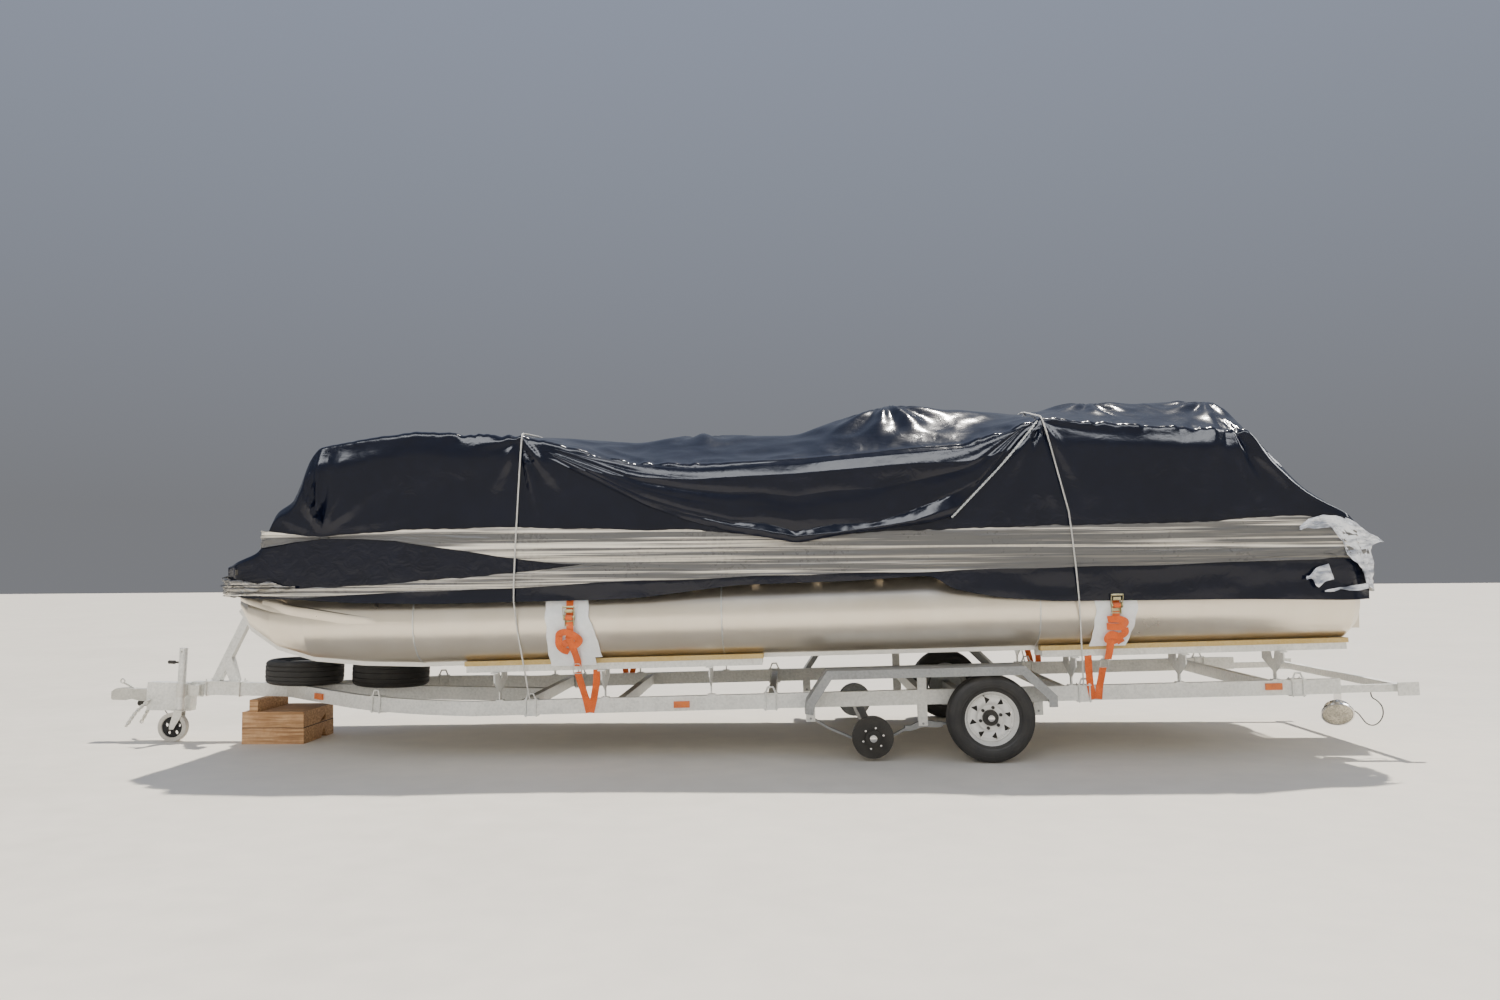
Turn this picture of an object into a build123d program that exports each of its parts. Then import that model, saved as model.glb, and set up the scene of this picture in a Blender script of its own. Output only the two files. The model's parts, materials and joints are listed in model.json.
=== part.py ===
"""Wrapped pontoon boat on a twin-axle trailer, in millimetres.

Everything is laid out level, then turned onto the trailer's parked stand, nose down.
X runs aft, Y to starboard, Z up. The rear axle is the reference in X.
"""
from build123d import *
from math import sin, cos, tan, atan2, hypot, radians, degrees, sqrt, acos, pi
import os

os.makedirs("parts", exist_ok=True)

# Stand
PARKED_TILT = 1.25
WHEEL_X = 1320.0
TYRE_R = 289.0
CLEAR = 0.3

# Main rails
RAIL_TOP = 465.0
RAIL_H = 100.0
RAIL_W = 50.0
RAIL_OUT = 975.0
RAIL_WALL = 4.0
RAIL_REAR = 3703.0
RAIL_BEND_X = -2200.0
BEND_R = 1600.0
BEND_ANGLE = 40.0
BEND_RUN = 900.0
FRONT_RISE = 2.6
SOCKET_DEPTH = 300.0

# Drawbar and coupling
DRAWBAR_W = 80.0
DRAWBAR_FRONT = -4660.0
BLOCK_LENGTH = 347.0
BLOCK_W = 100.0
BLOCK_BELOW = 125.0
BLOCK_ABOVE = -9.0
BLOCK_CHAMFER = 32.0
COUPLER_LENGTH = 288.0
COUPLER_W = 76.0
BALL_R = 25.0
BALL_BACK = 55.0

# Cross-members between the rails
CROSS_X = (-1866.0, -1183.0, -132.0, 903.0, 1868.0, 3274.0)
CROSS_W = 50.0
CROSS_H = 80.0

# Winch post
POST_FOOT = -4511.0
POST_W = 68.0
POST_LEAN = 251.0
POST_H = 543.0
POST_BASE_T = 8.0
BRACE_FOOT = 145.0

# Bunks
KEEL_BOTTOM = 712.0
PONTOON_R = 280.0
PONTOON_Z = 1020.0
PONTOON_Y = 930.0
BUNK_OFFSET = 100.0
BOARD_W = 80.0
CHANNEL_W = 60.0
CHANNEL_T = 4.0
CHANNEL_H = 45.0
SUPPORT_T = 8.0
SUPPORT_X = (-2009.0, -1278.0, -545.0, 1911.0, 2638.0, 3281.0)
BUNK_SPANS = ((-2212.0, -186.0), (1700.0, 3718.0))

# Running gear
TYRE_W = 189.0
TRACK_Y = 1150.0
RIM_FLANGE_R = 195.0
RIM_BEAD_R = 177.0
RIM_DROP_R = 158.0
RIM_W = 153.0
RIM_T = 4.0
DISC_T = 5.0
PILOT_R = 53.0
STUD_PCD = 139.7
STUD_R = 6.0
STUD_COUNT = 6
NUT_R = 10.5
DRUM_R = 138.0
DRUM_W = 75.0
HUB_NOSE_R = 51.0
HUB_NOSE_L = 30.0
SPINDLE_R = 20.0
SPINDLE_FIT = 0.05
AXLE_W = 60.0
FRONT_AXLE_X = 539.0
FRONT_AXLE_Z = 175.0
SPRING_W = 46.0
SPRING_T = 14.0
EYE_R = 15.0
PIN_R = 8.0
HANGER_T = 6.0

# Fenders
FENDER_OUT = 1255.0
FENDER_T = 4.0
LIP_H = 57.0
FENDER_LINE = ((90.0, 356.0), (104.0, 434.0), (243.0, 632.0), (1546.0, 632.0), (1748.0, 431.0),
               (1748.0, 359.0))

# Jockey stand
JOCKEY_X = -4690.0
JOCKEY_Y = -125.0
JOCKEY_LEAN = 3.75
JOCKEY_TUBE_R = 30.0
JOCKEY_LEG_R = 24.0
JOCKEY_WHEEL_R = 110.0
JOCKEY_WHEEL_W = 50.0
JOCKEY_TRAIL = 45.0
JOCKEY_PIVOT_Z = 520.0

# Boat
TUBE_FRONT = -2560.0
TUBE_REAR = 3720.0
DISH = 110.0
KEEL_T = 12.0
DECK_TOP = 1420.0
DECK_T = 35.0
DECK_OUT = 1246.0
DECK_FRONT = -3820.0
DECK_REAR = 3850.0
SKIRT_T = 4.0
BEAM_W = 40.0
BEAM_H = 50.0
FILM_T = 6.0

# Timber under the drawbar
BLOCK_X0 = -4139.0
BLOCK_X1 = -3666.0
BLOCK_Y = 287.0
TIMBER_H = 120.0

RAIL_BOTTOM = RAIL_TOP - RAIL_H
RAIL_MID_Y = RAIL_OUT - RAIL_W / 2
RAIL_IN = RAIL_OUT - RAIL_W
BLOCK_FRONT = DRAWBAR_FRONT - BLOCK_LENGTH
BLOCK_BOTTOM = RAIL_BOTTOM - BLOCK_BELOW
BLOCK_TOP = RAIL_TOP + BLOCK_ABOVE
COUPLER_FRONT = BLOCK_FRONT - COUPLER_LENGTH
BALL_X = COUPLER_FRONT + BALL_BACK
CHANNEL_BASE = 670.0
DRUM_IN = TRACK_Y - DRUM_W
FRONT_FRAME = Pos(RAIL_BEND_X, 0, RAIL_BOTTOM) * Rot(0, FRONT_RISE, 0) * Pos(-RAIL_BEND_X, 0, -RAIL_BOTTOM)
PARKED = Pos(WHEEL_X, 0, TYRE_R) * Rot(0, -PARKED_TILT, 0) * Pos(-WHEEL_X, 0, -TYRE_R)
pieces = []


def ribbon(points, thickness):
    """Closed outline of a strip that lies to the left of an open line."""
    normals = []
    for a, b in zip(points, points[1:]):
        run = hypot(b[0] - a[0], b[1] - a[1])
        normals.append((-(b[1] - a[1]) / run, (b[0] - a[0]) / run))
    outer = []
    for i, p in enumerate(points):
        n0 = normals[max(i - 1, 0)]
        n1 = normals[min(i, len(normals) - 1)]
        s = 1 + n0[0] * n1[0] + n0[1] * n1[1]
        outer.append((p[0] + thickness * (n0[0] + n1[0]) / s, p[1] + thickness * (n0[1] + n1[1]) / s))
    return list(points) + outer[::-1]


def block(x0, x1, y0, y1, z0, z1, mode=Mode.ADD):
    """Box between two corners."""
    with Locations(((x0 + x1) / 2, (y0 + y1) / 2, (z0 + z1) / 2)):
        Box(x1 - x0, y1 - y0, z1 - z0, mode=mode)


def slab(points, y0, y1, mode=Mode.ADD):
    """Side outline in X and Z, drawn out from y0 to y1."""
    with BuildSketch(Plane.XZ.offset(-y1)) as outline:
        Polygon(*points, align=None)
    extrude(outline.sketch, amount=y1 - y0, mode=mode)


def rib(points, x0, x1, mode=Mode.ADD):
    """End outline in Y and Z, drawn out from x0 to x1."""
    with BuildSketch(Plane.YZ.offset(x0)) as outline:
        Polygon(*points, align=None)
    extrude(outline.sketch, amount=x1 - x0, mode=mode)


def floor_plan(points, z0, z1, mode=Mode.ADD):
    """Plan outline in X and Y, drawn out from z0 to z1."""
    with BuildSketch(Plane.XY.offset(z0)) as outline:
        Polygon(*points, align=None)
    extrude(outline.sketch, amount=z1 - z0, mode=mode)


def round_y(x, z, r, y0, y1, mode=Mode.ADD):
    """Cylinder along Y."""
    with Locations(Location((x, (y0 + y1) / 2, z), (90, 0, 0))):
        Cylinder(r, y1 - y0, mode=mode)


def round_x(y, z, r, x0, x1, mode=Mode.ADD):
    """Cylinder along X."""
    with Locations(Location(((x0 + x1) / 2, y, z), (0, 90, 0))):
        Cylinder(r, x1 - x0, mode=mode)


def round_z(x, y, r, z0, z1, mode=Mode.ADD):
    """Cylinder along Z."""
    with Locations((x, y, (z0 + z1) / 2)):
        Cylinder(r, z1 - z0, mode=mode)


def rod(points, r):
    """Round bar through points, with ball corners."""
    for a, b in zip(points, points[1:]):
        va, vb = Vector(*a), Vector(*b)
        plane = Plane(origin=va, z_dir=vb - va)
        with BuildSketch(plane) as ring:
            Circle(r)
        extrude(ring.sketch, amount=(vb - va).length)
    for p in points[1:-1]:
        with Locations(p):
            Sphere(r)


def front_rail(side):
    """Bent front part of a main rail, on the rising front frame."""
    turn = radians(BEND_ANGLE)
    cy = RAIL_MID_Y - BEND_R

    def at(radius, share):
        return (RAIL_BEND_X - radius * sin(turn * share), cy + radius * cos(turn * share))

    def far(point):
        return (point[0] - BEND_RUN * cos(turn), point[1] - BEND_RUN * sin(turn))

    r_out = BEND_R + RAIL_W / 2
    r_in = BEND_R - RAIL_W / 2
    with BuildPart() as bent:
        with BuildSketch(Plane.XY.offset(RAIL_BOTTOM)):
            with BuildLine():
                Line((RAIL_BEND_X + 6, RAIL_IN), (RAIL_BEND_X + 6, RAIL_OUT))
                Line((RAIL_BEND_X + 6, RAIL_OUT), at(r_out, 0))
                ThreePointArc(at(r_out, 0), at(r_out, 0.5), at(r_out, 1))
                Line(at(r_out, 1), far(at(r_out, 1)))
                Line(far(at(r_out, 1)), far(at(r_in, 1)))
                Line(far(at(r_in, 1)), at(r_in, 1))
                ThreePointArc(at(r_in, 1), at(r_in, 0.5), at(r_in, 0))
                Line(at(r_in, 0), (RAIL_BEND_X + 6, RAIL_IN))
            make_face()
        extrude(amount=RAIL_H)
        block(-6000, 0, -2000, DRAWBAR_W / 2, 0, 1000, Mode.SUBTRACT)
    shape = FRONT_FRAME * bent.part
    return shape if side > 0 else mirror(shape, Plane.XZ)


def rail_point(x):
    """Centre and plan angle of a rail at a given X, on its own frame."""
    run = RAIL_BEND_X - x
    arc_run = BEND_R * sin(radians(BEND_ANGLE))
    if run <= 0:
        return RAIL_MID_Y, 0.0
    if run <= arc_run:
        share = sqrt(BEND_R ** 2 - run ** 2)
        return RAIL_MID_Y - (BEND_R - share), degrees(atan2(run, share))
    drop = BEND_R * (1 - cos(radians(BEND_ANGLE))) + (run - arc_run) * tan(radians(BEND_ANGLE))
    return RAIL_MID_Y - drop, BEND_ANGLE


def keep(builder, label, where=None):
    """Note a finished piece with its name."""
    shape = builder.part if where is None else where * builder.part
    pieces.append((label, shape, False))


# Main rails
for label, side in (("rail_left", -1), ("rail_right", 1)):
    with BuildPart() as rail:
        y0, y1 = sorted((side * RAIL_IN, side * RAIL_OUT))
        block(RAIL_BEND_X, RAIL_REAR, y0, y1, RAIL_BOTTOM, RAIL_TOP)
        add(front_rail(side))
        block(RAIL_REAR - SOCKET_DEPTH, RAIL_REAR, y0 + RAIL_WALL, y1 - RAIL_WALL,
              RAIL_BOTTOM + RAIL_WALL, RAIL_TOP - RAIL_WALL, Mode.SUBTRACT)
    keep(rail, label)

# Drawbar, on the rising front frame
with BuildPart() as drawbar:
    block(DRAWBAR_FRONT, CROSS_X[0] - CROSS_W / 2 - 6, -DRAWBAR_W / 2, DRAWBAR_W / 2, RAIL_BOTTOM, RAIL_TOP)
keep(drawbar, "drawbar", FRONT_FRAME)

# Coupling block with its two chamfered side plates
with BuildPart() as coupling_block:
    c = BLOCK_CHAMFER
    plate = ((BLOCK_FRONT + c, BLOCK_BOTTOM), (DRAWBAR_FRONT - c, BLOCK_BOTTOM),
             (DRAWBAR_FRONT, BLOCK_BOTTOM + c), (DRAWBAR_FRONT, BLOCK_TOP - c),
             (DRAWBAR_FRONT - c, BLOCK_TOP),
             (BLOCK_FRONT + c, BLOCK_TOP), (BLOCK_FRONT, BLOCK_TOP - c), (BLOCK_FRONT, BLOCK_BOTTOM + c))
    block(BLOCK_FRONT, DRAWBAR_FRONT, -BLOCK_W / 2 + 5, BLOCK_W / 2 - 5, BLOCK_BOTTOM, BLOCK_TOP)
    slab(plate, -BLOCK_W / 2, -BLOCK_W / 2 + 5)
    slab(plate, BLOCK_W / 2 - 5, BLOCK_W / 2)
keep(coupling_block, "coupling_block", FRONT_FRAME)

# Ball coupler with its lever and ring
COUPLER_MID = (BLOCK_BOTTOM + BLOCK_TOP) / 2
COUPLER_LINE = ((0, -40), (0, 52), (-110, 52), (-165, 60), (-COUPLER_LENGTH + 30, 52),
                (-COUPLER_LENGTH, 28),
                (-COUPLER_LENGTH, -24), (-COUPLER_LENGTH + 12, -36), (-170, -36), (-130, -24), (-60, -40))
with BuildPart() as ball_coupler:
    slab([(BLOCK_FRONT + x, COUPLER_MID + z) for x, z in COUPLER_LINE], -COUPLER_W / 2, COUPLER_W / 2)
    round_z(BALL_X, 0, BALL_R, COUPLER_MID - 40, COUPLER_MID, Mode.SUBTRACT)
    with Locations((BALL_X, 0, COUPLER_MID)):
        Sphere(BALL_R, mode=Mode.SUBTRACT)
    slab([(BLOCK_FRONT + x, COUPLER_MID + z) for x, z in
          ((-60, 50), (-110, 50), (-205, 104), (-215, 92), (-130, 50))], -12, 12)
    with Locations(Location((BLOCK_FRONT - 222, 0, COUPLER_MID + 108), (90, 0, 0))):
        Torus(16, 5)
keep(ball_coupler, "ball_coupler", FRONT_FRAME)

BELLOWS_R = 21.0
with BuildPart() as coupler_bellows:
    for n in range(5):
        round_x(0, COUPLER_MID - 40 - BELLOWS_R, BELLOWS_R, BLOCK_FRONT - 12 - 18 * n, BLOCK_FRONT - 18 * n)
        round_x(0, COUPLER_MID - 40 - BELLOWS_R, BELLOWS_R - 5, BLOCK_FRONT - 18 - 18 * n,
                BLOCK_FRONT - 12 - 18 * n)
keep(coupler_bellows, "coupler_bellows", FRONT_FRAME)

# Safety chains: links alternate flat and upright down each strand
LINK_L = 40.0
LINK_W = 28.0
LINK_T = 9.0
CHAINS = (((-4985, -66, 440), (-5075, -76, 355), (-5140, -84, 262)),
          ((-4985, 66, 440), (-5060, 76, 360), (-5118, 84, 268)))
with BuildPart() as one_link:
    with BuildSketch():
        SlotOverall(LINK_L, LINK_W)
        SlotOverall(LINK_L - 2 * LINK_T, LINK_W - 2 * LINK_T, mode=Mode.SUBTRACT)
    extrude(amount=LINK_T / 2, both=True)
with BuildPart() as safety_chains:
    for strand in CHAINS:
        turn_on = 0
        for a, b in zip(strand, strand[1:]):
            va, vb = Vector(*a), Vector(*b)
            count = max(1, round((vb - va).length / (LINK_L - 2 * LINK_T - 2)))
            for n in range(count + (b is strand[-1])):
                spot = va + (vb - va) * (n / count)
                way = Plane(origin=spot, x_dir=vb - va, z_dir=(vb - va).cross(Vector(0, 1, 0)))
                add(Location(way) * Rot(90 * turn_on, 0, 0) * one_link.part)
                turn_on = 1 - turn_on
        sy = -1 if strand[0][1] < 0 else 1
        rod([strand[0], (strand[0][0], sy * BLOCK_W / 2, strand[0][2])], LINK_T / 2)
keep(safety_chains, "safety_chains")

# Cross-members
with BuildPart() as cross_members:
    for x in CROSS_X:
        block(x - CROSS_W / 2, x + CROSS_W / 2, -RAIL_IN, RAIL_IN, RAIL_TOP - 10 - CROSS_H, RAIL_TOP - 10)
keep(cross_members, "cross_members")

# Winch post with brace and base plate
POST_BASE = RAIL_TOP + POST_BASE_T
with BuildPart() as winch_post:
    block(POST_FOOT - 49, POST_FOOT + 251, -55, 55, RAIL_TOP, POST_BASE)
    slab(((POST_FOOT, POST_BASE), (POST_FOOT + POST_W, POST_BASE),
          (POST_FOOT + POST_W + POST_LEAN, POST_BASE + POST_H),
          (POST_FOOT + POST_LEAN, POST_BASE + POST_H)), -32, 32)
    lean = POST_LEAN / POST_H
    slab(((POST_FOOT + BRACE_FOOT, POST_BASE), (POST_FOOT + BRACE_FOOT + POST_W, POST_BASE),
          (POST_FOOT + POST_W - 4 + 192 * lean, POST_BASE + 192),
          (POST_FOOT + POST_W - 4 + 91 * lean, POST_BASE + 91)),
         -32, 32)
    for x in (POST_FOOT - 30, POST_FOOT + 232):
        for y in (-DRAWBAR_W / 2 - 5, DRAWBAR_W / 2 + 5):
            round_z(x, y, 5 + SPINDLE_FIT, RAIL_TOP - 1, POST_BASE + 1, Mode.SUBTRACT)
keep(winch_post, "winch_post", FRONT_FRAME)

STOP_TOP = POST_BASE + POST_H - 8
with BuildPart() as bow_stop:
    back = POST_FOOT + POST_W + POST_LEAN
    slab([(back + (z - POST_BASE - POST_H) * lean + dx, z) for dx, z in
          ((0, STOP_TOP - 70), (52, STOP_TOP - 80), (52, STOP_TOP), (0, STOP_TOP - 4))], -60, 60)
keep(bow_stop, "bow_stop", FRONT_FRAME)

# Bunk supports: one notched plate on each rail at each station, welded to the rail top
SUPPORT_IN = PONTOON_Y - BUNK_OFFSET - BOARD_W
SUPPORT_OUT = PONTOON_Y + BUNK_OFFSET + BOARD_W
with BuildPart() as bunk_supports:
    for x in SUPPORT_X:
        for side in (-1, 1):
            rib([(side * y, z) for y, z in (
                (RAIL_IN, RAIL_TOP), (RAIL_OUT, RAIL_TOP), (RAIL_OUT, RAIL_TOP + 60),
                (SUPPORT_OUT, CHANNEL_BASE - 70), (SUPPORT_OUT, CHANNEL_BASE),
                (PONTOON_Y + 40, CHANNEL_BASE),
                (PONTOON_Y + 22, CHANNEL_BASE - 60), (PONTOON_Y - 22, CHANNEL_BASE - 60),
                (PONTOON_Y - 40, CHANNEL_BASE),
                (SUPPORT_IN, CHANNEL_BASE), (SUPPORT_IN, CHANNEL_BASE - 70), (RAIL_IN, RAIL_TOP + 60))],
                x - SUPPORT_T / 2, x + SUPPORT_T / 2)
            y0, y1 = sorted((side * RAIL_IN, side * RAIL_OUT))
            block(x - 26, x + 26, y0, y1, RAIL_TOP, RAIL_TOP + SUPPORT_T)
            for edge in (SUPPORT_IN, SUPPORT_OUT - 45):
                a, b = sorted((side * edge, side * (edge + 45)))
                block(x - 25, x + 25, a, b, CHANNEL_BASE - SUPPORT_T, CHANNEL_BASE)
keep(bunk_supports, "bunk_supports")

with BuildPart() as bunk_channels:
    for x0, x1 in BUNK_SPANS:
        for side in (-1, 1):
            for inner in (-1, 1):
                y = side * PONTOON_Y + inner * BUNK_OFFSET
                block(x0, x1, y - CHANNEL_W / 2, y + CHANNEL_W / 2, CHANNEL_BASE, CHANNEL_BASE + CHANNEL_H)
                block(x0, x1, y - CHANNEL_W / 2 + CHANNEL_T, y + CHANNEL_W / 2 - CHANNEL_T,
                      CHANNEL_BASE, CHANNEL_BASE + CHANNEL_H - CHANNEL_T, Mode.SUBTRACT)
keep(bunk_channels, "bunk_channels")

BOARD_BASE = CHANNEL_BASE + CHANNEL_H
BOARD_T = PONTOON_Z - sqrt(PONTOON_R ** 2 - (BUNK_OFFSET - BOARD_W / 2) ** 2) - BOARD_BASE
with BuildPart() as bunk_boards:
    for x0, x1 in BUNK_SPANS:
        for side in (-1, 1):
            for inner in (-1, 1):
                y = side * PONTOON_Y + inner * BUNK_OFFSET
                block(x0 - 10, x1 + 10, y - BOARD_W / 2, y + BOARD_W / 2, BOARD_BASE, BOARD_BASE + BOARD_T)
keep(bunk_boards, "bunk_boards")

# Fenders: folded sheet over both wheels with a deep outer lip
for label, side in (("fender_left", -1), ("fender_right", 1)):
    with BuildPart() as fender:
        y0, y1 = sorted((side * RAIL_OUT, side * FENDER_OUT))
        slab(ribbon(FENDER_LINE[::-1], FENDER_T), y0, y1)
        y0, y1 = sorted((side * (FENDER_OUT - FENDER_T), side * FENDER_OUT))
        slab(ribbon(FENDER_LINE[::-1], LIP_H), y0, y1)
    keep(fender, label)

# Spring hangers under each rail, the middle one carried up to the fender
HANGERS = ((131.0, 290.0, 270.0), (894.0, 237.0, 222.0), (1676.0, 303.0, 275.0))
HANGER_W = 62.0
with BuildPart() as spring_hangers:
    for n, (x, pin_z, low) in enumerate(HANGERS):
        for side in (-1, 1):
            y0, y1 = sorted((side * (RAIL_MID_Y - SPRING_W / 2 - 1 - HANGER_T),
                             side * (RAIL_MID_Y + SPRING_W / 2 + 1 + HANGER_T)))
            block(x - HANGER_W / 2, x + HANGER_W / 2, y0, y1, low, RAIL_BOTTOM)
            block(x - HANGER_W / 2, x + HANGER_W / 2, y0 + HANGER_T, y1 - HANGER_T, low,
                  RAIL_BOTTOM - HANGER_T, Mode.SUBTRACT)
            round_y(x, pin_z, PIN_R, y0, y1, Mode.SUBTRACT)
            if n == 1:
                a, b = sorted((side * RAIL_OUT, side * (RAIL_OUT + HANGER_T)))
                block(x - HANGER_W / 2, x + HANGER_W / 2, a, b, low + 60, FENDER_LINE[2][1] - FENDER_T)
                for dx, dz in ((-18, 20), (18, 20), (-18, 80), (18, 80)):
                    a, b = sorted((side * (RAIL_OUT + HANGER_T), side * (RAIL_OUT + HANGER_T + 7)))
                    if dz == 80:
                        round_y(x + dx, RAIL_BOTTOM + dz - 20, 7, a, b)
keep(spring_hangers, "spring_hangers")

# Leaf springs, equalisers and their pins
SEAT_FRONT = FRONT_AXLE_Z - AXLE_W / 2 - SPRING_T
SEAT_REAR = TYRE_R - AXLE_W / 2 - SPRING_T
SPRING_LINES = (
    ((131, 290), (250, 215), (400, SEAT_FRONT + 16), (480, SEAT_FRONT), (598, SEAT_FRONT),
     (690, SEAT_FRONT + 22), (792, 205)),
    ((1004, 226), (1100, 222), (1240, SEAT_REAR), (1400, SEAT_REAR), (1520, 258), (1676, 303)))
with BuildPart() as leaf_springs:
    for side in (-1, 1):
        y0, y1 = sorted((side * (RAIL_MID_Y - SPRING_W / 2), side * (RAIL_MID_Y + SPRING_W / 2)))
        for line in SPRING_LINES:
            slab(ribbon(line, SPRING_T), y0, y1)
        for x, z in ((131, 290), (1676, 303)):
            round_y(x, z, EYE_R, y0, y1)
        for x, z, low in HANGERS:
            round_y(x, z, PIN_R, y0 - 1 - HANGER_T, y1 + 1 + HANGER_T)
        slab(((770, 190), (812, 190), (894, 214), (985, 208), (1025, 212), (1025, 244), (985, 244),
              (894, 262), (812, 225), (770, 225)),
             y0, y1)
    for side in (-1, 1):
        y0, y1 = sorted((side * (RAIL_MID_Y - 30), side * (RAIL_MID_Y + 30)))
        block(FRONT_AXLE_X - 55, FRONT_AXLE_X + 55, y0, y1, SEAT_FRONT - 8, SEAT_FRONT)
        block(WHEEL_X - 55, WHEEL_X + 55, y0, y1, SEAT_REAR - 8, SEAT_REAR)
keep(leaf_springs, "leaf_springs")

# Axles with spindles and backing plates
for label, x, z in (("axle_front", FRONT_AXLE_X, FRONT_AXLE_Z), ("axle_rear", WHEEL_X, TYRE_R)):
    with BuildPart() as axle:
        block(x - AXLE_W / 2, x + AXLE_W / 2, -DRUM_IN + 14, DRUM_IN - 14, z - AXLE_W / 2, z + AXLE_W / 2)
        for side in (-1, 1):
            y0, y1 = sorted((side * (DRUM_IN - 14), side * (DRUM_IN - 8)))
            round_y(x, z, DRUM_R - 3, y0, y1)
            y0, y1 = sorted((side * (DRUM_IN - 20), side * (TRACK_Y + 5)))
            round_y(x, z, SPINDLE_R, y0, y1)
    keep(axle, label)

# Wheel hubs with brake drums and studs: bare in front, behind the wheels at the rear
for label, side, x, z in (("hub_front_left", -1, FRONT_AXLE_X, FRONT_AXLE_Z),
                          ("hub_front_right", 1, FRONT_AXLE_X, FRONT_AXLE_Z),
                          ("hub_rear_left", -1, WHEEL_X, TYRE_R), ("hub_rear_right", 1, WHEEL_X, TYRE_R)):
    with BuildPart() as hub:
        y0, y1 = sorted((side * DRUM_IN, side * TRACK_Y))
        round_y(x, z, DRUM_R, y0, y1)
        y0, y1 = sorted((side * TRACK_Y, side * (TRACK_Y + HUB_NOSE_L)))
        round_y(x, z, HUB_NOSE_R, y0, y1)
        y0, y1 = sorted((side * (TRACK_Y + HUB_NOSE_L), side * (TRACK_Y + HUB_NOSE_L + 12)))
        round_y(x, z, HUB_NOSE_R / 2 + 2, y0, y1)
        y0, y1 = sorted((side * (DRUM_IN - 1), side * (TRACK_Y + 8)))
        round_y(x, z, SPINDLE_R + SPINDLE_FIT, y0, y1, Mode.SUBTRACT)
        turn = 45 if label == "hub_front_right" else 15
        for n in range(STUD_COUNT):
            a = radians(360 / STUD_COUNT * n + turn)
            y0, y1 = sorted((side * TRACK_Y, side * (TRACK_Y + 32)))
            round_y(x + STUD_PCD / 2 * cos(a), z + STUD_PCD / 2 * sin(a), STUD_R, y0, y1)
            if x == WHEEL_X:
                seat = TRACK_Y + CLEAR + DISC_T + CLEAR
                y0, y1 = sorted((side * seat, side * (seat + 16)))
                round_y(x + STUD_PCD / 2 * cos(a), z + STUD_PCD / 2 * sin(a), NUT_R, y0, y1)
    keep(hub, label)


def tyre_ring(width):
    """Tyre about the Y axis at the origin, open inside down to the beads."""
    h = width / 2
    with BuildPart() as ring:
        with BuildSketch(Plane.XY):
            bead = RIM_BEAD_R + CLEAR
            seat = RIM_W / 2 - 14.5
            Polygon((bead, -seat), (bead, -seat + 13), (TYRE_R - 60, -h + 14), (TYRE_R - 14, -h + 30),
                    (TYRE_R - 14, h - 30), (TYRE_R - 60, h - 14), (bead, seat - 13), (bead, seat),
                    (RIM_FLANGE_R + 1, seat + 10), (RIM_FLANGE_R + 8, h - 12), (TYRE_R - 62, h),
                    (TYRE_R - 16, h - 12),
                    (TYRE_R, h - 30), (TYRE_R, -h + 30), (TYRE_R - 16, -h + 12), (TYRE_R - 62, -h),
                    (RIM_FLANGE_R + 8, -h + 12), (RIM_FLANGE_R + 1, -seat - 10), align=None)
        revolve(axis=Axis.Y)
    return ring.part


def rim_shell(out):
    """Rim about the Y axis at the origin, with its slotted disc towards the side out."""
    h = RIM_W / 2
    t = RIM_T
    well = ((RIM_FLANGE_R, -h), (RIM_FLANGE_R, -h + t), (RIM_BEAD_R, -h + 14), (RIM_BEAD_R, -h + 34),
            (RIM_DROP_R, -h + 48),
            (RIM_DROP_R, h - 66), (RIM_BEAD_R, h - 46), (RIM_BEAD_R, h - 14), (RIM_FLANGE_R, h - t),
            (RIM_FLANGE_R, h))
    inner = ((RIM_BEAD_R - t, h - 9), (RIM_BEAD_R - t, h - 43), (RIM_DROP_R - t, h - 64),
             (RIM_DROP_R - t, -h + 45),
             (RIM_BEAD_R - t, -h + 31), (RIM_BEAD_R - t, -h + 9))
    with BuildPart() as shell:
        with BuildSketch(Plane.XY):
            Polygon(*well, *inner, align=None)
        revolve(axis=Axis.Y)
        y0, y1 = sorted((out * CLEAR, out * (CLEAR + DISC_T)))
        round_y(0, 0, RIM_DROP_R - 1, y0, y1)
        y0, y1 = sorted((-out, out * (DISC_T + 2)))
        round_y(0, 0, PILOT_R, y0, y1, Mode.SUBTRACT)
        for n in range(8):
            a = radians(45 * n + 22.5)
            with BuildSketch(Plane.XZ.offset(-y1 if y1 > 0 else -y1)) as cut:
                with Locations(Location((118 * cos(a), 118 * sin(a)), degrees(a) - 90)):
                    Polygon((-25, 12), (25, 12), (0, -16), align=None)
            extrude(cut.sketch, amount=y1 - y0, mode=Mode.SUBTRACT)
        for n in range(STUD_COUNT):
            a = radians(360 / STUD_COUNT * n + 15)
            round_y(STUD_PCD / 2 * cos(a), STUD_PCD / 2 * sin(a), STUD_R + CLEAR, y0, y1, Mode.SUBTRACT)
    return shell.part


# Rear wheels
for side, name in ((-1, "left"), (1, "right")):
    place = Pos(WHEEL_X, side * TRACK_Y, TYRE_R)
    with BuildPart() as tyre:
        add(place * tyre_ring(TYRE_W))
    keep(tyre, "tyre_" + name)
    with BuildPart() as rim:
        add(place * rim_shell(side))
    keep(rim, "rim_" + name)

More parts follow.
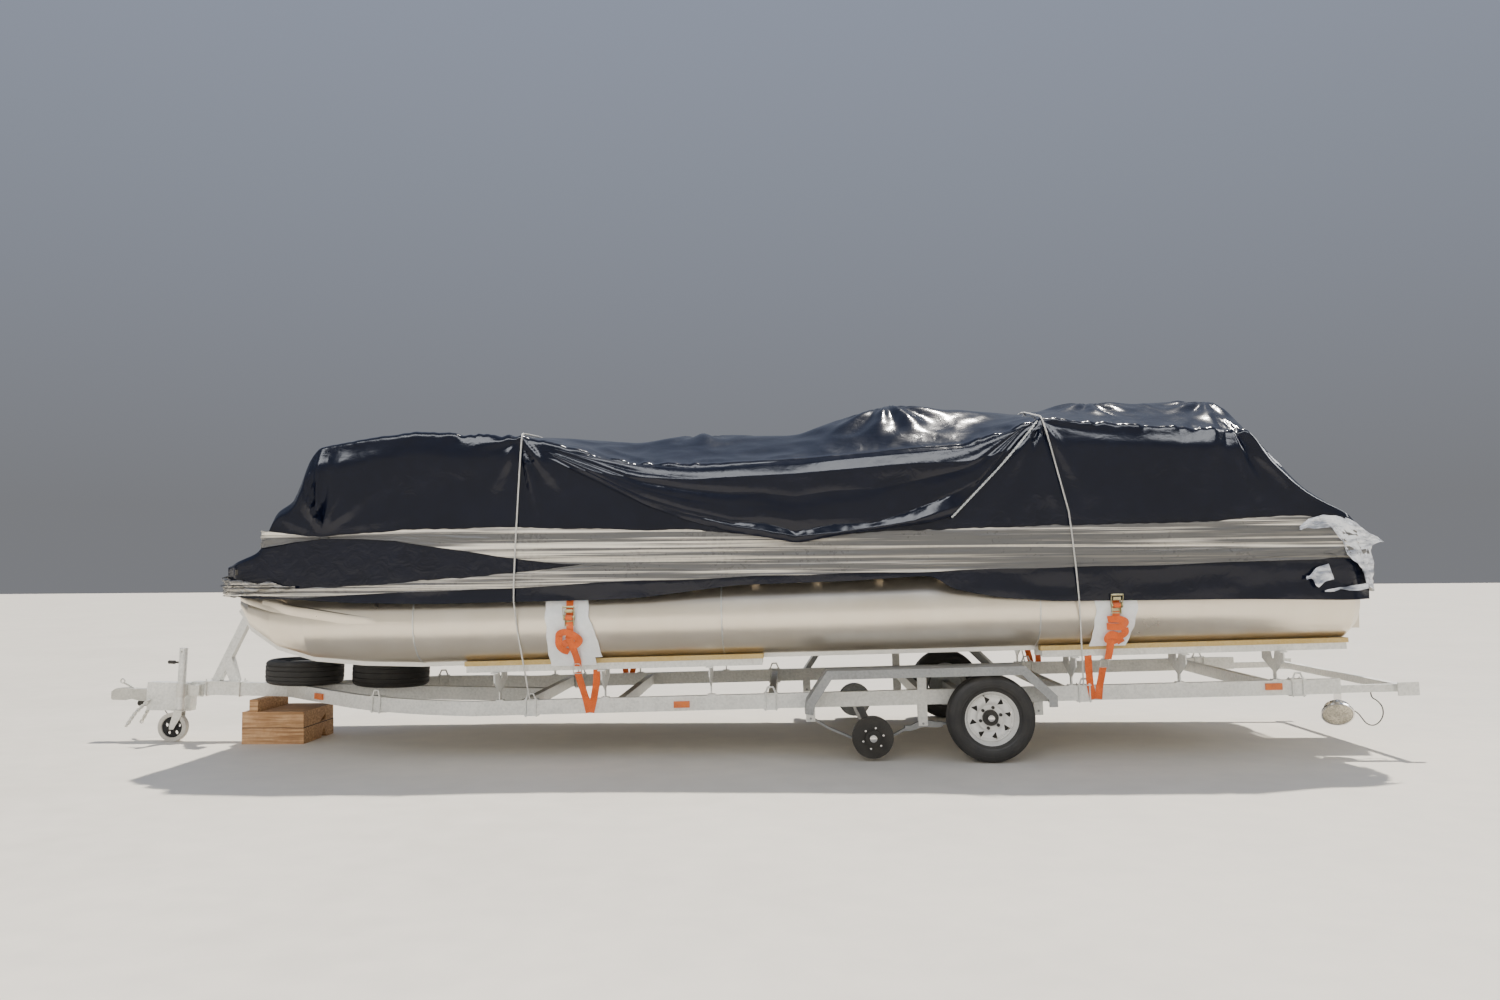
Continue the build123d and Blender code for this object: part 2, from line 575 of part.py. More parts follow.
# Two wheels stowed flat on the drawbar
STOWED_X = (-3784.0, -3106.0)
with BuildPart() as stowed_tyres:
    for x in STOWED_X:
        add(Pos(x, 0, RAIL_TOP + TYRE_W / 2) * Rot(90, 0, 0) * tyre_ring(TYRE_W))
keep(stowed_tyres, "stowed_tyres", FRONT_FRAME)
with BuildPart() as stowed_rims:
    for x in STOWED_X:
        add(Pos(x, 0, RAIL_TOP + TYRE_W / 2) * Rot(90, 0, 0) * rim_shell(1))
keep(stowed_rims, "stowed_rims", FRONT_FRAME)

# Timber blocks on the floor, with a square timber on top that carries the drawbar
timber_x = BLOCK_X0 + 55
drawbar_low = (PARKED * FRONT_FRAME * Pos(timber_x + 65, 0, RAIL_BOTTOM)).position
with BuildPart() as timber_blocks:
    for n in range(2):
        slab(((BLOCK_X0, TIMBER_H * n), (BLOCK_X1 - 3 * n, TIMBER_H * n),
              (BLOCK_X1 - 3 * n, TIMBER_H * (n + 1)),
              (BLOCK_X0, TIMBER_H * (n + 1))), -BLOCK_Y, BLOCK_Y)
    rib(((40, -1), (150, -1), (95, 75)), BLOCK_X1 - 190, BLOCK_X1 + 1, Mode.SUBTRACT)
    rib(((10, TIMBER_H), (130, TIMBER_H + 20), (130, TIMBER_H + 60)), BLOCK_X1 - 190, BLOCK_X1 + 1,
        Mode.SUBTRACT)
    block(timber_x, timber_x + 65, -BLOCK_Y, 250, 2 * TIMBER_H, drawbar_low.Z)
pieces.append(("timber_blocks", timber_blocks.part, True))

# Jockey stand: the tube's own frame has its origin on the clamp pivot
JOCKEY = Pos(JOCKEY_X, JOCKEY_Y, JOCKEY_PIVOT_Z) * Rot(0, JOCKEY_LEAN, 0)
lean = radians(JOCKEY_LEAN)
tilt = radians(PARKED_TILT)
axle_reach = JOCKEY_X - JOCKEY_TRAIL * cos(lean) - WHEEL_X
axle_rise = JOCKEY_PIVOT_Z + JOCKEY_TRAIL * sin(lean) - TYRE_R
AXLE_DROP = (axle_reach * sin(tilt) + axle_rise * cos(tilt) + TYRE_R - JOCKEY_WHEEL_R) / cos(lean - tilt)
TUBE_UP = 325.0
CROWN_T = 6.0
LEG_DOWN = AXLE_DROP - JOCKEY_WHEEL_R - 14 - CROWN_T - CLEAR
TUBE_DOWN = LEG_DOWN - 6
CLAMP_Y = -JOCKEY_Y - DRAWBAR_W / 2
with BuildPart() as jockey_clamp:
    round_z(0, 0, JOCKEY_TUBE_R + 8, -50, 50)
    round_z(0, 0, JOCKEY_TUBE_R + CLEAR, -51, 51, Mode.SUBTRACT)
    block(30, 125, 20, 34, -40, 40)
    round_z(0, 0, JOCKEY_TUBE_R + CLEAR, -51, 51, Mode.SUBTRACT)
    block(75, 115, 34, CLAMP_Y - 8, -40, 40)
    block(50, 135, CLAMP_Y - 8, CLAMP_Y, -52, 45)
keep(jockey_clamp, "jockey_clamp", JOCKEY)

with BuildPart() as jockey_tube:
    round_z(0, 0, JOCKEY_TUBE_R, -TUBE_DOWN, TUBE_UP)
    round_z(0, 0, JOCKEY_LEG_R + SPINDLE_FIT, -TUBE_DOWN - 1, TUBE_UP - 60, Mode.SUBTRACT)
    round_y(0, TUBE_UP - 28, 6, -JOCKEY_TUBE_R - 1, JOCKEY_TUBE_R + 1, Mode.SUBTRACT)
keep(jockey_tube, "jockey_tube", JOCKEY)

with BuildPart() as jockey_crank:
    block(-62, -JOCKEY_TUBE_R, -7, 7, 205, 219)
    round_x(0, 212, 14, -110, -62)
    round_x(0, 212, 6, -118, -110)
keep(jockey_crank, "jockey_crank", JOCKEY)

with BuildPart() as jockey_leg:
    round_z(0, 0, JOCKEY_LEG_R, -LEG_DOWN, TUBE_UP - 90)
keep(jockey_leg, "jockey_leg", JOCKEY)

with BuildPart() as jockey_fork:
    top = -LEG_DOWN - CLEAR
    block(-JOCKEY_TRAIL / 2 - 30, 32, -34, 34, top - CROWN_T, top)
    for y0, y1 in ((-34, -29), (29, 34)):
        slab(((28, top), (28, top - 40), (-JOCKEY_TRAIL + 16, -AXLE_DROP - 16),
              (-JOCKEY_TRAIL - 16, -AXLE_DROP - 16),
              (-JOCKEY_TRAIL - 16, -AXLE_DROP + 14), (-30, top)), y0, y1)
    round_y(-JOCKEY_TRAIL, -AXLE_DROP, 8, -38, 38)
keep(jockey_fork, "jockey_fork", JOCKEY)

with BuildPart() as jockey_wheel:
    for r, w in ((JOCKEY_WHEEL_R, JOCKEY_WHEEL_W),):
        round_y(-JOCKEY_TRAIL, -AXLE_DROP, r, -w / 2, w / 2)
    for y0, y1 in ((-26, -14), (14, 26)):
        round_y(-JOCKEY_TRAIL, -AXLE_DROP, 80, y0, y1, Mode.SUBTRACT)
    round_y(-JOCKEY_TRAIL, -AXLE_DROP, 20, -26, 26)
    round_y(-JOCKEY_TRAIL, -AXLE_DROP, 8 + SPINDLE_FIT, -27, 27, Mode.SUBTRACT)
    for n in range(5):
        a = radians(72 * n + 20)
        round_y(-JOCKEY_TRAIL + 50 * cos(a), -AXLE_DROP + 50 * sin(a), 17, -20, 20, Mode.SUBTRACT)
keep(jockey_wheel, "jockey_wheel", JOCKEY)

# Rear light bar on tubes that slide into the open rail ends
BAR_X = 4080.0
TUBE_W = 40.0
TUBE_H = 50.0
TUBE_IN = 280.0
tube_z0 = RAIL_BOTTOM + RAIL_WALL
with BuildPart() as light_bar:
    for side in (-1, 1):
        y = side * RAIL_MID_Y
        block(RAIL_REAR - TUBE_IN, BAR_X, y - TUBE_W / 2, y + TUBE_W / 2, tube_z0, tube_z0 + TUBE_H)
        a, b = sorted((side * 1000, side * 1006))
        block(BAR_X - 16, BAR_X + 126, a, b, tube_z0 - 25, tube_z0 + TUBE_H + 15)
    block(BAR_X, BAR_X + 45, -1000, 1000, tube_z0, tube_z0 + TUBE_H)
keep(light_bar, "light_bar")

# Amber side markers
with BuildPart() as side_markers:
    for x, z in ((-3498, 410), (-749, 410), (3255, 425)):
        y, angle = rail_point(x)
        frame = FRONT_FRAME if angle else Pos(0, 0, 0)
        for side in (-1, 1):
            spot = frame * Pos(x, side * y, z) * Rot(0, 0, side * angle)
            lens = Box(110, 16, 44, mode=Mode.PRIVATE)
            add(spot * Pos(0, side * (RAIL_W / 2 + 8), 0) * lens)
keep(side_markers, "side_markers")

# Tie-down brackets clamped round the rails
HANDLE_OUT = 30.0
HANDLE_H = 46.0
with BuildPart() as one_bracket:
    block(-48, 48, -34, HANDLE_OUT + 8, 0, 6)
    block(-48, 48, -34, 38, -RAIL_H - 8, -RAIL_H)
    for x in (-36, 36):
        for y in (-RAIL_W / 2 - 7, RAIL_W / 2 + 7):
            round_z(x, y, 5, -RAIL_H - 14, 14)
    rod([(-34, HANDLE_OUT, 6), (-18, HANDLE_OUT, HANDLE_H), (18, HANDLE_OUT, HANDLE_H),
         (34, HANDLE_OUT, 6)], 6)
with BuildPart() as tie_down_brackets:
    for x in (-2921, -1790, -138, 1990, 3418):
        y, angle = rail_point(x)
        frame = FRONT_FRAME if angle else Pos(0, 0, 0)
        for side in (-1, 1):
            turned = Rot(0, 0, side * angle + (0 if side > 0 else 180))
            add(frame * Pos(x, side * y, RAIL_TOP) * turned * one_bracket.part)
keep(tie_down_brackets, "tie_down_brackets")

# U-bolts of the winch post
with BuildPart() as u_bolts:
    for x in (POST_FOOT - 30, POST_FOOT + 232):
        y = DRAWBAR_W / 2 + 5
        rod([(x, -y, POST_BASE + 16), (x, -y, RAIL_BOTTOM - 5), (x, y, RAIL_BOTTOM - 5),
             (x, y, POST_BASE + 16)], 5)
keep(u_bolts, "u_bolts", FRONT_FRAME)

# Round lamp on a short stem under the port rail's rear end, its open side turned out and down
LAMP_X = 3688.0
LAMP_R = 100.0
LAMP_STEM = 60.0
LAMP_HANG = 120.0
LAMP_WAY = Vector(-0.25, -0.74, -0.62)
lamp_face = Plane(origin=(LAMP_X - 10, -RAIL_MID_Y - 12, RAIL_BOTTOM - LAMP_HANG - 18), z_dir=LAMP_WAY)
with BuildPart() as bowl:
    with BuildSketch(Plane.XZ):
        Polygon((0, -85), (52, -78), (84, -52), (LAMP_R - 3, -12), (LAMP_R + 3, -8), (LAMP_R + 3, 4),
                (LAMP_R - 6, 4),
                (78, -42), (48, -66), (0, -72), align=None)
    revolve(axis=Axis.Z)
with BuildPart() as tail_lamp:
    block(LAMP_X - 20, LAMP_X + 20, -RAIL_MID_Y - 14, -RAIL_MID_Y + 14, RAIL_BOTTOM - LAMP_STEM,
          RAIL_BOTTOM)
    add(Location(lamp_face) * bowl.part)
keep(tail_lamp, "tail_lamp")
with BuildPart() as lamp_lens:
    with BuildSketch(Plane.XZ):
        Polygon((0, -4), (LAMP_R - 9.2, -4), (LAMP_R - 9.2, 3), (50, 12), (0, 16), align=None)
    revolve(axis=Axis.Z)
keep(lamp_lens, "lamp_lens", Location(lamp_face))

# Boat: nose sections, bottom, widest height, top and half width at each X
NOSE = (
    (TUBE_FRONT, PONTOON_Z - PONTOON_R, PONTOON_Z, PONTOON_Z + PONTOON_R, PONTOON_R),
    (-2950.0, 758.0, 1045.0, 1300.0, 268.0),
    (-3300.0, 797.0, 1085.0, 1300.0, 228.0),
    (-3560.0, 880.0, 1130.0, 1298.0, 165.0),
    (-3740.0, 1012.0, 1180.0, 1290.0, 95.0),
    (-3825.0, 1150.0, 1205.0, 1260.0, 25.0),
)


def nose_cone(y):
    """Tapered nose from the tube's front ring to the tip."""
    rings = []
    for x, low, mid, high, half in NOSE:
        with BuildSketch(Plane.YZ.offset(x)) as ring:
            with BuildLine():
                ThreePointArc((y - half, mid), (y, low), (y + half, mid))
                ThreePointArc((y + half, mid), (y, high), (y - half, mid))
            make_face()
        rings.append(ring.sketch.faces()[0])
    return loft(rings, ruled=True)


for label, side in (("pontoon_left", -1), ("pontoon_right", 1)):
    y = side * PONTOON_Y
    with BuildPart() as pontoon:
        round_x(y, PONTOON_Z, PONTOON_R, TUBE_FRONT, TUBE_REAR)
        with BuildSketch(Plane.XZ.offset(-y)) as dish:
            Polygon((TUBE_REAR, PONTOON_Z), (TUBE_REAR, PONTOON_Z + PONTOON_R),
                    (TUBE_REAR + DISH * 0.55, PONTOON_Z + PONTOON_R * 0.8),
                    (TUBE_REAR + DISH * 0.9, PONTOON_Z + PONTOON_R * 0.45), (TUBE_REAR + DISH, PONTOON_Z),
                    align=None)
        revolve(dish.sketch, axis=Axis((0, y, PONTOON_Z), (1, 0, 0)))
        add(nose_cone(y))
    keep(pontoon, label)

# Keel strips: flat bar along the bottom of each tube and up the leading edge
KEEL_H = PONTOON_Z - PONTOON_R - KEEL_BOTTOM
with BuildPart() as keel_strips:
    line = [(TUBE_REAR - 160, PONTOON_Z - PONTOON_R)] + [(x, low) for x, low, mid, high, half in NOSE]
    for side in (-1, 1):
        y = side * PONTOON_Y
        slab(ribbon(line, KEEL_H), y - KEEL_T / 2, y + KEEL_T / 2)
keep(keel_strips, "keel_strips")

# Deck
DECK_PLAN = [(DECK_FRONT, -1130), (DECK_FRONT + 100, -DECK_OUT), (3700, -DECK_OUT), (DECK_REAR, -1120),
             (DECK_REAR, 1120), (3700, DECK_OUT), (DECK_FRONT + 100, DECK_OUT), (DECK_FRONT, 1130)]
BEAM_Z = DECK_TOP - DECK_T - BEAM_H
with BuildPart() as deck_panel:
    floor_plan(DECK_PLAN, DECK_TOP - DECK_T, DECK_TOP)
keep(deck_panel, "deck_panel")
BEAM_COUNT = 18
with BuildPart() as deck_beams:
    for n in range(BEAM_COUNT):
        x = DECK_FRONT + 220 + n * (DECK_REAR - DECK_FRONT - 480) / (BEAM_COUNT - 1)
        block(x - BEAM_W / 2, x + BEAM_W / 2, -DECK_OUT + 20, DECK_OUT - 20, BEAM_Z, DECK_TOP - DECK_T)
keep(deck_beams, "deck_beams")
with BuildPart() as deck_risers:
    for side in (-1, 1):
        y = side * PONTOON_Y
        block(-3560, TUBE_REAR - 60, y - 45, y + 45, PONTOON_Z + PONTOON_R - 40, BEAM_Z)
        round_x(y, PONTOON_Z, PONTOON_R, TUBE_FRONT, TUBE_REAR, Mode.SUBTRACT)
        add(nose_cone(y), mode=Mode.SUBTRACT)
keep(deck_risers, "deck_risers")

# Motor pod between the tubes, with its transom plate
POD_W = 280.0
with BuildPart() as motor_pod:
    slab(((3000, BEAM_Z), (3000, 1180), (3400, 900), (3650, 770), (4180, 758), (4200, 1290),
          (3700, BEAM_Z)), -POD_W, POD_W)
    slab(((3700, BEAM_Z + 1), (3700, 1290), (4201, 1290), (4201, 1400), (3700, 1400)), -POD_W + 8,
         POD_W - 8, Mode.SUBTRACT)
keep(motor_pod, "motor_pod")

# Black cover: X, height of the shoulder, of the side's top edge and of the middle
COVER = (
    (DECK_FRONT - SKIRT_T, 1132.0, 1434.0, 1444.0, 1452.0),
    (-3720.0, 1250.0, 1450.0, 1480.0, 1500.0),
    (-3530.0, 1250.0, 1510.0, 1560.0, 1580.0),
    (-3500.0, 1250.0, 1560.0, 1790.0, 1800.0),
    (-3310.0, 1250.0, 1620.0, 1882.0, 1890.0),
    (-3215.0, 1250.0, 1640.0, 2240.0, 2262.0),
    (-2530.0, 1250.0, 1640.0, 2312.0, 2330.0),
    (-1800.0, 1250.0, 1640.0, 2260.0, 2300.0),
    (-1020.0, 1250.0, 1640.0, 2065.0, 2270.0),
    (-600.0, 1250.0, 1640.0, 2030.0, 2315.0),
    (100.0, 1250.0, 1640.0, 2050.0, 2275.0),
    (760.0, 1250.0, 1640.0, 2100.0, 2459.0),
    (1240.0, 1250.0, 1640.0, 2110.0, 2425.0),
    (1740.0, 1250.0, 1640.0, 2275.0, 2385.0),
    (2080.0, 1250.0, 1640.0, 2224.0, 2425.0),
    (2810.0, 1250.0, 1640.0, 2160.0, 2430.0),
    (3090.0, 1250.0, 1640.0, 2140.0, 2420.0),
    (3470.0, 1250.0, 1590.0, 1730.0, 1790.0),
    (3700.0, 1250.0, 1540.0, 1580.0, 1600.0),
    (DECK_REAR + SKIRT_T, 1124.0, 1430.0, 1436.0, 1440.0),
)
EDGE_IN = 80.0
RIDGE_Y = 600.0
with BuildPart() as cover:
    rings = []
    for x, half, shoulder, edge, mid in COVER:
        with BuildSketch(Plane.YZ.offset(x)) as ring:
            Polygon((-half, DECK_TOP), (-half, shoulder), (-half + EDGE_IN, edge), (-RIDGE_Y, mid),
                    (RIDGE_Y, mid),
                    (half - EDGE_IN, edge), (half, shoulder), (half, DECK_TOP), align=None)
        rings.append(ring.sketch.faces()[0])
    loft(rings, ruled=True)
keep(cover, "cover")

# Skirt: the cover's lower edge, hanging outside the deck
HEM = ((-3900, 1264), (-3790, 1264), (-3700, 1229), (-3264, 1204), (-2957, 1174), (-2413, 1152),
       (-1268, 1146), (-1000, 1151),
       (-333, 1218), (397, 1223), (992, 1245), (1057, 1157), (1384, 1088), (1776, 1050), (3011, 1028),
       (3654, 1003), (3900, 1003))
with BuildPart() as skirt:
    with BuildSketch(Plane.XY.offset(1000)):
        Polygon(*DECK_PLAN, align=None)
        offset(amount=SKIRT_T, kind=Kind.INTERSECTION)
        Polygon(*DECK_PLAN, align=None, mode=Mode.SUBTRACT)
    extrude(amount=DECK_TOP - 1000)
    slab(HEM + ((3900, 900), (-3900, 900)), -1400, 1400, Mode.SUBTRACT)
    block(3800, 3900, -PONTOON_Y - PONTOON_R, PONTOON_Y + PONTOON_R, 900, BEAM_Z, Mode.SUBTRACT)
keep(skirt, "skirt")

# Stretch film bands round the deck edge
FILM_LINE = ((-3790, 1360), (-3640, 1246), (-2619, 1238), (-1941, 1245), (-600, 1273), (3340, 1273),
             (3700, 1264),
             (3700, 1530), (3347, 1555), (730, 1538), (73, 1480), (-600, 1592), (-1946, 1647),
             (-2625, 1648), (-3129, 1640),
             (-3507, 1676), (-3504, 1560), (-3129, 1600), (-2624, 1580), (-1944, 1459), (-1500, 1400),
             (-2619, 1310), (-3299, 1290))
with BuildPart() as film_bands:
    for side in (-1, 1):
        y0, y1 = sorted((side * (DECK_OUT + SKIRT_T), side * (DECK_OUT + SKIRT_T + FILM_T)))
        slab(FILM_LINE, y0, y1)
    block(DECK_REAR + SKIRT_T, DECK_REAR + SKIRT_T + FILM_T, -1120, 1120, BEAM_Z + 2, 1430)
keep(film_bands, "film_bands")

# White ropes over the cover
ROPE_R = 6.0
ROPE_OUT = DECK_OUT + SKIRT_T + FILM_T + ROPE_R


def beside_tube(r, angle):
    """Point at an angle round a pontoon's centre, in Y (outwards) and Z."""
    return (PONTOON_Y + r * cos(radians(angle)), PONTOON_Z + r * sin(radians(angle)))


ROPE_LINES = (
    (-1790.0, -1829.0, (-28, -14, 0), 1150.0, -1800.0, -1765.0, 2268.0, 2307.0),
    (1990.0, 1915.0, (-28, -20), 1046.0, 1870.0, 1738.0, 2284.0, 2393.0),
)
with BuildPart() as ropes:
    for foot_x, side_x, angles, hem_z, shoulder_x, top_x, edge_z, mid_z in ROPE_LINES:
        half = [(foot_x, RAIL_MID_Y + HANDLE_OUT + 3, RAIL_TOP + HANDLE_H + ROPE_R + 2)]
        half += [(side_x, *beside_tube(PONTOON_R + ROPE_R + 3, angle)) for angle in angles]
        half += [(side_x, ROPE_OUT - FILM_T, hem_z), (side_x, ROPE_OUT, hem_z + 60),
                 (shoulder_x, ROPE_OUT, 1646),
                 (top_x, DECK_OUT + SKIRT_T - EDGE_IN + 8, edge_z), (top_x, RIDGE_Y, mid_z)]
        rod([(x, -y, z) for x, y, z in half] + half[::-1], ROPE_R)
keep(ropes, "ropes")


# White pads under the straps, ratchet straps down to the rails, and the ratchets
PAD_T = 12.0
WEB_T = 3.0
WEB_W = 50.0
WEB_R = PONTOON_R + CLEAR + PAD_T
STRAPS = ((-1462.0, 315.0, 40.0, 700.0), (2159.0, 290.0, 4.0, 735.0))
ANCHOR = (RAIL_OUT + 1.0, RAIL_TOP - 2)
REACH = hypot(ANCHOR[0] - PONTOON_Y, ANCHOR[1] - PONTOON_Z)
LEAVE = degrees(atan2(ANCHOR[1] - PONTOON_Z, ANCHOR[0] - PONTOON_Y) + acos(WEB_R / REACH))
STRAP_STEPS = 8


def wrap(r, start):
    """Points round the tube from a start angle to where the strap leaves it."""
    step = (LEAVE - start) / STRAP_STEPS
    corners = [beside_tube(r / cos(radians(step / 2)),
                           start + step * (n + 0.5)) for n in range(STRAP_STEPS)]
    return [beside_tube(r, start)] + corners + [beside_tube(r, LEAVE)]


with BuildPart() as strap_pads:
    for x, width, start, low in STRAPS:
        line = wrap(PONTOON_R + CLEAR, start)
        y, z = line[-1]
        down = (z - low) / cos(radians(LEAVE))
        line.append((y + down * sin(radians(LEAVE)), low))
        for side in (-1, 1):
            rib([(side * a, b) for a, b in ribbon(line, PAD_T)], x - width / 2, x + width / 2)
keep(strap_pads, "strap_pads")

with BuildPart() as ratchet_straps:
    for x, width, start, low in STRAPS:
        line = wrap(WEB_R, start) + [ANCHOR, (RAIL_OUT + 1.0, RAIL_BOTTOM - 1)]
        for side in (-1, 1):
            rib([(side * a, b) for a, b in ribbon(line, WEB_T)], x - WEB_W / 2, x + WEB_W / 2)
            a, b = sorted((side * (RAIL_IN - 4), side * (RAIL_OUT + 4)))
            block(x - WEB_W / 2, x + WEB_W / 2, a, b, RAIL_BOTTOM - 4, RAIL_BOTTOM - 1)
keep(ratchet_straps, "ratchet_straps")

with BuildPart() as ratchets:
    for x, width, start, low in STRAPS:
        y, z = beside_tube(WEB_R + WEB_T, 4)
        for side in (-1, 1):
            y0, y1 = sorted((side * (y - 0.5), side * (y + 20)))
            block(x - 32, x - 27, y0, y1, z - 55, z + 55)
            block(x + 27, x + 32, y0, y1, z - 55, z + 55)
            round_x(side * (y + 9.45), z, 9, x - 32, x + 32)
            round_x(side * (y + 12), z - 40, 8, x - 32, x + 32)
            round_x(side * (y + 12), z + 42, 6, x - 36, x + 36)
keep(ratchets, "ratchets")

# Cables: straight runs with round bends
def cable(points, r):
    """Round cable along straight runs joined by arcs."""
    radii = []
    for a, b, c in zip(points, points[1:], points[2:]):
        va, vb, vc = Vector(*a), Vector(*b), Vector(*c)
        turn = radians((vb - va).get_angle(vc - vb))
        radii.append(0.45 * min((vb - va).length, (vc - vb).length) / tan(turn / 2))
    with BuildPart() as tube:
        with BuildLine() as route:
            FilletPolyline(*points, radius=radii)
        with BuildSketch(Plane(origin=points[0], z_dir=route.line % 0)):
            Circle(r)
        sweep()
    return tube


LAMP_CABLE = ((3790, -962, 246), (3812, -963, 232), (3836, -963, 198), (3862, -962, 160), (3908, -959, 142),
              (3955, -957, 165),
              (3984, -956, 215), (3980, -955, 272), (3948, -952, 312), (3910, -950, 332),
              (3910, -950, RAIL_BOTTOM + RAIL_WALL))
lamp_cable = cable(LAMP_CABLE, 4.0)
keep(lamp_cable, "lamp_cable")

PLUG_CABLE = ((-5050, COUPLER_W / 2, 318), (-5050, 88, 318), (-5025, 138, 275), (-4998, 185, 215),
              (-4975, 230, 145), (-4968, 275, 78),
              (-4980, 318, 38), (-5012, 356, 20), (-5055, 388, 20))
plug_cable = cable(PLUG_CABLE, 4.0)
pieces.append(("plug_cable", plug_cable.part, True))
with BuildPart() as plug:
    end = Vector(*PLUG_CABLE[-1])
    way = end - Vector(*PLUG_CABLE[-2])
    with BuildSketch(Plane(origin=end, z_dir=way)) as face:
        Circle(9)
    extrude(face.sketch, amount=22)
    with BuildSketch(Plane(origin=end + way.normalized() * 22, z_dir=way)) as face:
        Circle(20)
    extrude(face.sketch, amount=48)
pieces.append(("plug", plug.part, True))

# Park the level build, centre it over the origin and write it
placed = [(label, shape if level else PARKED * shape) for label, shape, level in pieces]
boxes = [shape.bounding_box() for label, shape in placed]
mid_x = (min(b.min.X for b in boxes) + max(b.max.X for b in boxes)) / 2
mid_y = (min(b.min.Y for b in boxes) + max(b.max.Y for b in boxes)) / 2
low_z = min(b.min.Z for b in boxes)
HOME = Pos(-mid_x, -mid_y, -low_z)
for label, shape in placed:
    final = HOME * shape
    final.label = label
    export_step(final, f"parts/{label}.step")
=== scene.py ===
"""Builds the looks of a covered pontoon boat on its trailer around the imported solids."""
import json
from math import acos, atan2, cos, hypot, pi, radians, sin, sqrt, tau

import bpy
import numpy as np
from mathutils import Matrix, Vector, noise


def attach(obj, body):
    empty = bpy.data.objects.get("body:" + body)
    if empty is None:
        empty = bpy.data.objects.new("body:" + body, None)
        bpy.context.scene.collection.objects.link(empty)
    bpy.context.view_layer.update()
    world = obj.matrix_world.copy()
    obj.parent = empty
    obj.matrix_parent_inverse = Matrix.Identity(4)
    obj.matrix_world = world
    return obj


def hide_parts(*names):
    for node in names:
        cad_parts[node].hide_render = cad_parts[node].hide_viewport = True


bl_info = {
    "name": "Covered pontoon boat on its trailer",
    "version": (1, 0, 0),
    "blender": (4, 5, 0),
    "location": "3D View > Sidebar > Boat",
    "description": "Models the wrapped boat, its lashings and its trailer's finishes",
    "category": "Object",
}

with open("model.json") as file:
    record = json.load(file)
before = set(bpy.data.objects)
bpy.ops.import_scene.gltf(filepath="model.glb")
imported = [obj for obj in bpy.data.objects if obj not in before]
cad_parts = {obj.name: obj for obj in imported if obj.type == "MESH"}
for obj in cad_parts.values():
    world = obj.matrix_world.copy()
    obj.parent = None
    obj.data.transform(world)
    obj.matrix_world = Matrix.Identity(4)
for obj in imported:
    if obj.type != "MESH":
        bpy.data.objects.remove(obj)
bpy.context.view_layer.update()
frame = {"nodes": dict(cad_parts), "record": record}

# The part is drawn level and then parked nose down about the rear wheels
TILT = radians(1.25)
SHIFT = 0.545907
WHEEL = Vector((1.32, 0.0, 0.289))
PARK = (Matrix.Translation(WHEEL + Vector((SHIFT, 0, 0))) @ Matrix.Rotation(-TILT, 4, "Y")
        @ Matrix.Translation(-WHEEL))
ROOT = "trailer_and_boat"
JOCKEY_AXLE = (-4.204919, -0.125, 0.11)


class CoverSettings(bpy.types.PropertyGroup):
    """Black plastic sheet over the boat."""
    along: bpy.props.IntProperty(name="Along", description="Squares along the sheet", default=430)
    across: bpy.props.IntProperty(name="Across", description="Squares across the sheet", default=190)
    # The default is black with a painted blue sky reflection mixed into its tint
    colour: bpy.props.FloatVectorProperty(name="Colour", description="Colour of the plastic", subtype="COLOR",
                                          size=3, default=(0.0025, 0.004, 0.012))
    shine: bpy.props.FloatProperty(name="Roughness", description="Roughness of the plastic", default=0.13)


class FilmSettings(bpy.types.PropertyGroup):
    """Clear stretch film wound round the deck's edge."""
    colour: bpy.props.FloatVectorProperty(name="Colour", description="Colour of the whitened film",
                                          subtype="COLOR", size=3, default=(0.58, 0.54, 0.46))
    gap: bpy.props.FloatProperty(name="Stand-off", description="How far the film stands off the sheet",
                                 unit="LENGTH", default=0.007)


class LashingSettings(bpy.types.PropertyGroup):
    """Ropes, straps and pads."""
    rope: bpy.props.FloatProperty(name="Rope radius", description="Radius of the white rope", unit="LENGTH",
                                  default=0.006)
    web: bpy.props.FloatProperty(name="Strap width", description="Width of the orange strap", unit="LENGTH",
                                 default=0.048)
    orange: bpy.props.FloatVectorProperty(name="Strap colour", description="Colour of the orange strap",
                                          subtype="COLOR", size=3, default=(0.86, 0.15, 0.02))


class StageSettings(bpy.types.PropertyGroup):
    """Floor, lights and camera."""
    floor: bpy.props.FloatVectorProperty(name="Floor colour", description="Colour of the floor",
                                         subtype="COLOR", size=3, default=(0.78, 0.73, 0.64))
    lens: bpy.props.FloatProperty(name="Lens", description="Focal length in millimetres", default=28.008)


# Shared helpers
def deselect():
    """Leave nothing selected before an operator acts."""
    for item in bpy.context.selected_objects:
        item.select_set(False)


def pick(piece):
    """Leave one piece selected and active."""
    deselect()
    piece.select_set(True)
    bpy.context.view_layer.objects.active = piece


def own(piece, name, finish, body=ROOT, smooth=40, level=True):
    """Name a finished piece, put its place in its mesh, give it a finish and let it ride on a body."""
    piece.name = name
    piece.data.name = name
    piece.data.transform(piece.matrix_world)
    piece.matrix_world = Matrix.Identity(4)
    if level:
        piece.data.transform(PARK)
    piece.data.materials.clear()
    piece.data.materials.append(bpy.data.materials[finish])
    pick(piece)
    bpy.ops.object.shade_smooth_by_angle(angle=radians(smooth))
    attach(piece, body)
    return piece


def stack(x, y, z):
    """Points of a grid, rows across by columns along, from coordinates that may each leave a way out."""
    return np.dstack(np.broadcast_arrays(x, y, z))


